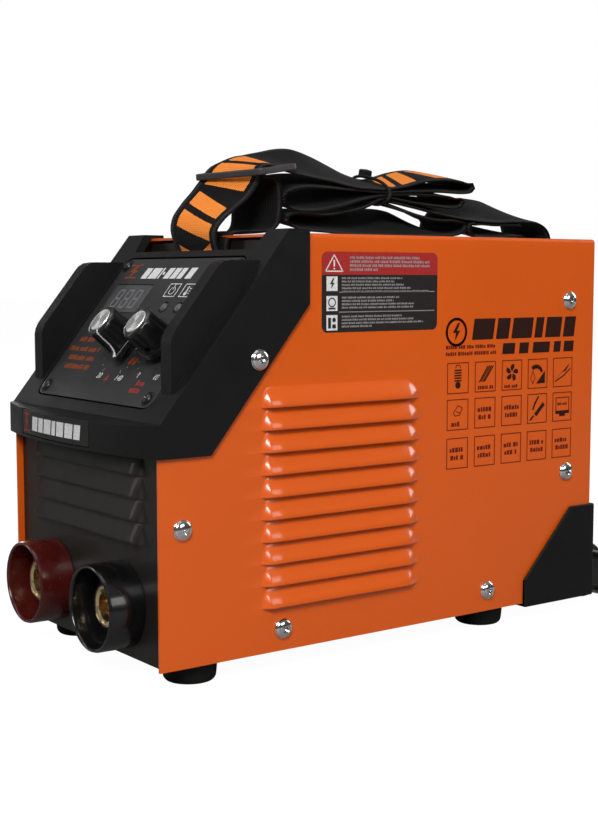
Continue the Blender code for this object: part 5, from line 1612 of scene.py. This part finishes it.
ICONS = {                                   # by (row, column); other cells hold two text lines
    (0, 0): icon_bars_over_disc, (0, 1): icon_slanted_lines, (0, 2): icon_five_blades,
    (0, 3): icon_curved_band, (0, 4): icon_wing, (1, 0): icon_tilted_outline,
    (1, 3): icon_slanted_bars, (1, 4): icon_screen,
}


def icon_grid():
    red, black = [], []
    for row, (bottom, top) in enumerate([(109.7, 124.7), (92.0, 107.0), (73.2, 88.2)]):
        for column in range(5):
            left = 160.6 + 18.2 * column
            right = left + 14.0
            cell = Cell(left, right, bottom, top, (left + right) / 2, (bottom + top) / 2)
            red += box_stroke(left, right, bottom, top, 0.42)
            if (row, column) in ICONS:
                more_red, more_black = ICONS[row, column](cell)
                red += more_red
                black += more_black
            else:
                red += filler_text(left + 2.0, right - 1.8, cell.y + 0.6, 2.2,
                                   61 + 7 * row + 13 * column)
                red += filler_text(left + 2.6, right - 2.2, cell.y - 3.2, 2.2,
                                   67 + 5 * row + 17 * column)
    return red, black


def side_art():
    """Emblem, bars and icon grid on both sides, drawn as (y, z)."""
    dark = ring_stroke(166.3, 139.4, 6.3, 40, 1.3)
    dark.append(fit(BOLT, 162.6, 170.0, 135.0, 143.8))
    dark += bar_row(176.5, (14.0, 8.5, 14.0, 5.5, 11.0, 8.0), 2.1, 135.4, 145.6, 0.16)
    for width, y in ((9.0, 197.0), (7.0, 208.6), (12.5, 218.2), (5.5, 233.2), (7.6, 240.6)):
        dark.append(rect(y, y + width - 0.6, 127.8, 133.2, 0.12))
    red = filler_text(159.6, 193.4, 131.3, 1.7, 5) + filler_text(159.6, 193.4, 128.1, 1.7, 11)
    grid_red, black = icon_grid()
    for side, label in ((1, "right"), (-1, "left")):
        low, high = sorted((side * (CASE_HALF + 0.03), side * (CASE_HALF + 0.12)))
        for name, polygons, material in (("emblem", dark, INK_DARK),
                                         ("icon_grid", red + grid_red, INK_RED),
                                         ("icons", black, INK_DARK)):
            print_film(f"side_{name}_{label}", polygons, material, "X", low, high,
                       "orange_paint")


def sticker():
    """A layered warning label on the right side, drawn as (y, z)."""
    surface = CASE_HALF + 0.02
    left, right, middle = 84.9, 153.6, 119

    def film(name, polygons, material, low, high):
        print_film(f"side_sticker{name}", polygons, material, "X", surface + low,
                   surface + high, "orange_paint")

    outline = rounded(left, right, 141.0, 177.0, 3.0, 8)
    film("", [outline], LABEL_DARK, 0.0, 0.10)

    top = [p for p in outline if p[1] > 172.0]
    band = [(left, 166.7), (right, 166.7)]
    band += sorted([p for p in top if p[0] > middle], key=lambda p: (p[1], -p[0]))
    band += sorted([p for p in top if p[0] <= middle], key=lambda p: (-p[1], -p[0]))
    film("_band", [band], LABEL_RED, 0.08, 0.14)

    white = stroke([(86.9, 168.3), (91.8, 175.6), (96.7, 168.3)], 0.55, closed=True)
    white += [rect(91.4, 92.2, 170.4, 173.3), rect(91.4, 92.2, 169.1, 169.8)]
    film("_triangle", white, INK_PALE, 0.12, 0.17)

    lines = []
    for k, (z, end) in enumerate(((173.9, 142.5), (172.1, 149.0), (170.3, 149.5), (168.5, 118.5))):
        lines += filler_text(100.8, end, z, 1.15, 71 + k)
    film("_lines_upper", lines, INK_GREY, 0.12, 0.16)

    squares, lines = [], []
    rows = ((159.5, 166.0, (132, 127, 133, 137, 149)),      # (bottom, top, line ends)
            (150.6, 157.3, (130, 127, 139, 139)),
            (141.9, 148.8, (132, 139, 145, 114)))
    for k, (z0, z1, ends) in enumerate(rows):
        squares.append(rect(87.5, 93.7, z0, z1))
        for j, end in enumerate(ends):
            lines += filler_text(96.2, end, z1 - 1.2 - 1.5 * j, 0.85, 83 + 7 * k + j)
        if k < 2:
            lines.append(rect(94.6, 151.8, z0 - 0.75, z0 - 0.35))
    film("_squares", squares, INK_PALE, 0.08, 0.13)
    film("_lines", lines, INK_GREY, 0.08, 0.13)

    marks = [fit(BOLT, 88.6, 92.8, 160.4, 165.2)]
    marks += ring_stroke(90.6, 154.4, 1.9, 16, 0.55) + [rect(88.6, 92.6, 151.3, 152.1)]
    marks += [rect(88.4, 90.0, 142.8, 147.6), rect(90.8, 92.8, 142.8, 144.6),
              circle(91.8, 146.6, 1.0, 14)]
    film("_marks", marks, LABEL_DARK, 0.12, 0.17)


def numeral(text, x, y):
    name, height = f"mark_{text}", 3.0
    curve = bpy.data.curves.new(name, "FONT")
    curve.body, curve.size, curve.shear = text, height * MM * 1.38, 0.25
    curve.extrude, curve.align_x = 0.025 * MM, "CENTER"
    source = bpy.data.objects.new(name + "_tmp", curve)
    bpy.context.scene.collection.objects.link(source)
    bpy.context.view_layer.update()
    graph = bpy.context.evaluated_depsgraph_get()
    mesh = bpy.data.meshes.new_from_object(source.evaluated_get(graph))
    bpy.data.objects.remove(source, do_unlink=True)
    bpy.data.curves.remove(curve)
    mesh.materials.clear()
    mesh.materials.append(INK_WHITE)
    tidy(mesh, merge=1e-8)
    ob = add_object(name, mesh, at(PANEL, x, y, -0.07))
    tag(ob, "case", slot="plate_grey")


def panel_white():
    """Blocks along the top and two framed symbols above the knobs."""
    white, x = [], -28.6
    for width in (6.5, 9.0, 2.4, 3.0, 6.0, 6.0, 5.4):
        low, high = (79.2, 80.9) if width == 3.0 else (76.8, 83.2)
        white.append(rect(x, x + width - 1.2, low, high, 0.16))
        x += width
    white.append(rect(x + 1.8, x + 7.0, 76.8, 83.2, 0.16))
    for x0, x1 in ((3.2, 13.0), (16.8, 25.9)):
        white += box_stroke(x0, x1, 66.2, 73.9, 0.42)
    white += stroke(arc(8.1, 69.8, 2.1, 125, 415, 22), 0.5) + [rect(7.85, 8.35, 70.4, 72.9)]
    white += [circle(20.8, 68.3, 1.15, 18), rect(20.4, 21.2, 68.3, 72.4)]
    return white + [rect(22.4, 23.8, y0, y1) for y0, y1 in ((68.2, 68.6), (69.6, 70.0),
                                                            (71.0, 71.4))]


def panel_orange():
    """Emblem, four text lines at the left and two leaning shapes below the left knob."""
    orange = [fit(shape, -44.4, -33.6, 76.9, 85.5, -0.12) for shape in EMBLEM]
    lines = ((-46.0, -31.0, 38.1), (-50.0, -19.2, 32.6), (-45.2, -17.8, 27.3),
             (-43.4, -19.0, 22.3))
    for k, (x0, x1, y) in enumerate(lines):
        orange += filler_text(x0, x1, y, 2.7, 101 + k, 0.1)
    shape = [(12.2, 28.0), (14.0, 27.4), (16.0, 30.0), (15.6, 32.0), (13.4, 31.2)]
    return orange + [shift(shape, x, 0.0) for x in (0.0, 3.6)]


def knob_ticks():
    """Scale ticks round each knob, left out near the other knob and the plate's edge."""
    ticks = []
    for x, other in ((KNOB_X["current"], KNOB_X["arc"]), (KNOB_X["arc"], KNOB_X["current"])):
        for k in range(21):
            a = math.radians(-152 + 304 * k / 20)
            inner, outer = (15.6, 17.2) if k % 5 == 0 else (15.9, 16.8)
            tip = x + outer * math.sin(a)
            if abs(tip) > 46 or abs(tip - other) < 15.4:
                continue
            line = [(x + r * math.sin(a), KNOB_Y + r * math.cos(a)) for r in (inner, outer)]
            ticks += stroke(line, 0.3)
    return ticks


def panel_art():
    for text, x, y in (("20", -5.4, 18.9), ("140", 12.6, 18.6), ("1", 27.6, 21.3),
                       ("10", 42.6, 21.2)):
        numeral(text, x, y)
    red = [[(0.6, 17.9), (4.2, 17.9), (3.2, 21.4)]]
    red += filler_text(30.6, 38.6, 17.3, 2.6, 107, 0.1)
    red += filler_text(28.6, 38.4, 13.3, 2.6, 109, 0.1)
    for name, polygons, material in (("panel_marks_white", panel_white(), INK_WHITE),
                                     ("panel_marks_orange", panel_orange(), INK_ORANGE),
                                     ("panel_marks_red", red, INK_MARK_RED),
                                     ("panel_ticks", knob_ticks(), INK_GREY)):
        print_film(name, polygons, material, "Z", -0.13, -0.05, "plate_grey", PANEL)


def badge_art():
    """Emblem and bars that follow the bowed badge, drawn as (x, z)."""
    emblem = [fit(shape, -43.2, -35.0, 93.6, 102.4) for shape in EMBLEM]
    bars = bar_row(-31.8, (6.6, 5.2, 7.4, 3.6, 6.6, 7.0, 5.2), 1.3, 94.6, 101.2, 0.14)
    for name, polygons, material in (("badge_emblem", emblem, INK_MARK_RED),
                                     ("badge_bars", bars, INK_WHITE)):
        shapes = [loft([[(x, bow_y(x) + offset, z) for x, z in polygon]
                        for offset in (0.03, 0.14)]) for polygon in polygons]
        build(name, together(*shapes), material, smooth=0, slot="plate_grey")


# =====================================================================================
# stage, light and camera: metres
# =====================================================================================
def floor():
    """A pale floor that the camera sees as nearly white, with soft shadows."""
    half = 9.0
    mesh = bpy.data.meshes.new("floor")
    mesh.from_pydata([(-half, -half, 0), (half, -half, 0), (half, half, 0), (-half, half, 0)],
                     [], [(0, 1, 2, 3)])
    ob = bpy.data.objects.new("floor", mesh)
    bpy.context.scene.collection.objects.link(ob)
    m = Material("floor_pale", (0.86, 0.86, 0.86), rough=0.55)
    m.drive("Roughness", m.remap(m.noise(scale=3.0, detail=3.0), to=(0.5, 0.6)))
    seen = m.node("ShaderNodeLightPath").outputs["Is Camera Ray"]
    m.drive("Base Color", m.mix(seen, (0.24, 0.235, 0.23), (0.80, 0.80, 0.80)))
    glow = m.node("ShaderNodeEmission")
    glow.inputs["Color"].default_value = (1, 1, 1, 1)
    glow.inputs["Strength"].default_value = 1.13
    blend = m.node("ShaderNodeMixShader")
    m.link(m.multiply(seen, 0.86), blend.inputs[0])
    m.link(m.shader.outputs[0], blend.inputs[1])
    m.link(glow.outputs[0], blend.inputs[2])
    m.link(blend.outputs[0], m.tree.nodes["Material Output"].inputs["Surface"])
    mesh.materials.append(m.data)


def studio_world():
    """White to the camera; otherwise a dim light that brightens upwards."""
    world = bpy.data.worlds.new("studio")
    bpy.context.scene.world = world
    world.use_nodes = True
    nodes, link = world.node_tree.nodes, world.node_tree.links.new
    nodes.clear()
    output = nodes.new("ShaderNodeOutputWorld")
    path = nodes.new("ShaderNodeLightPath")
    seen = nodes.new("ShaderNodeBackground")
    seen.inputs["Color"].default_value = (1, 1, 1, 1)
    seen.inputs["Strength"].default_value = 1.0
    lit = nodes.new("ShaderNodeBackground")
    lit.inputs["Color"].default_value = (1, 1, 1, 1)
    coordinates = nodes.new("ShaderNodeTexCoord")
    split = nodes.new("ShaderNodeSeparateXYZ")
    link(coordinates.outputs["Generated"], split.inputs[0])
    ramp = nodes.new("ShaderNodeMapRange")
    for key, value in (("From Min", -0.1), ("From Max", 0.9), ("To Min", 0.03), ("To Max", 0.22)):
        ramp.inputs[key].default_value = value
    link(split.outputs["Z"], ramp.inputs["Value"])
    link(ramp.outputs[0], lit.inputs["Strength"])
    blend = nodes.new("ShaderNodeMixShader")
    link(path.outputs["Is Camera Ray"], blend.inputs[0])
    link(lit.outputs[0], blend.inputs[1])
    link(seen.outputs[0], blend.inputs[2])
    link(blend.outputs[0], output.inputs[0])


AREA_LIGHTS = [                             # (name, place, aim, width, height, watts)
    ("key", (1.08, -1.02, 1.04), (0.0, 0.0, 0.10), 0.55, 0.55, 23.0),
    ("side", (1.75, 0.35, 0.75), (0.0, 0.05, 0.1), 0.8, 0.6, 5.0),
    ("top", (0.0, -0.3, 1.8), (0.0, 0.0, 0.15), 1.0, 1.0, 4.0),
    ("left", (-1.3, -1.2, 0.6), (0.0, -0.1, 0.12), 0.22, 1.0, 2.4),
    ("cap", (-0.72, -0.58, 1.32), (0.0, -0.1, 0.15), 0.30, 0.30, 2.1),
    ("back", (0.15, 1.9, 0.85), (0.0, 0.1, 0.12), 1.0, 0.9, 12.0),
    ("left_rear", (-1.85, 0.25, 0.42), (0.0, 0.05, 0.10), 0.9, 0.5, 5.0),
]


def lights():
    for name, place, aim, width, height, watts in AREA_LIGHTS:
        light = bpy.data.lights.new(name, "AREA")
        light.shape, light.size, light.size_y, light.energy = "RECTANGLE", width, height, watts
        ob = bpy.data.objects.new(name, light)
        ob.location = place
        ob.rotation_euler = (Vector(aim) - Vector(place)).to_track_quat("-Z", "Y").to_euler()
        bpy.context.scene.collection.objects.link(ob)


def camera():
    """Looks down a little at the front and right side."""
    place = Vector((562.4 * MM, -292.5 * MM, 165.9 * MM))   # case frame
    heading, tilt = math.radians(53.572), math.radians(5.705)
    data = bpy.data.cameras.new("camera")
    data.sensor_width = 36.0
    data.lens = 60.36576923
    data.clip_start, data.clip_end = 0.02, 60.0
    ob = bpy.data.objects.new("camera", data)
    ob.location = CASE @ place
    ob.rotation_euler = (math.pi / 2 - tilt, 0.0, heading)
    bpy.context.scene.collection.objects.link(ob)
    bpy.context.scene.camera = ob


def stage():
    view = bpy.context.scene.view_settings
    view.view_transform = "Standard"
    view.look = "None"
    floor()
    studio_world()
    lights()
    camera()


for make in (case_cover, front_panel, front_bezel, control_plate, badge_plate, base_tray,
             rear_panel, display, leds, knobs, sockets, side_screws, plate_screws, rear_bumper,
             feet, strap, strap_buckle, strap_tie, strap_anchors, fan_frame, fan_rotor,
             fan_guard, switch, cord_gland, power_cord, side_art, sticker, panel_art, badge_art,
             stage):
    make()
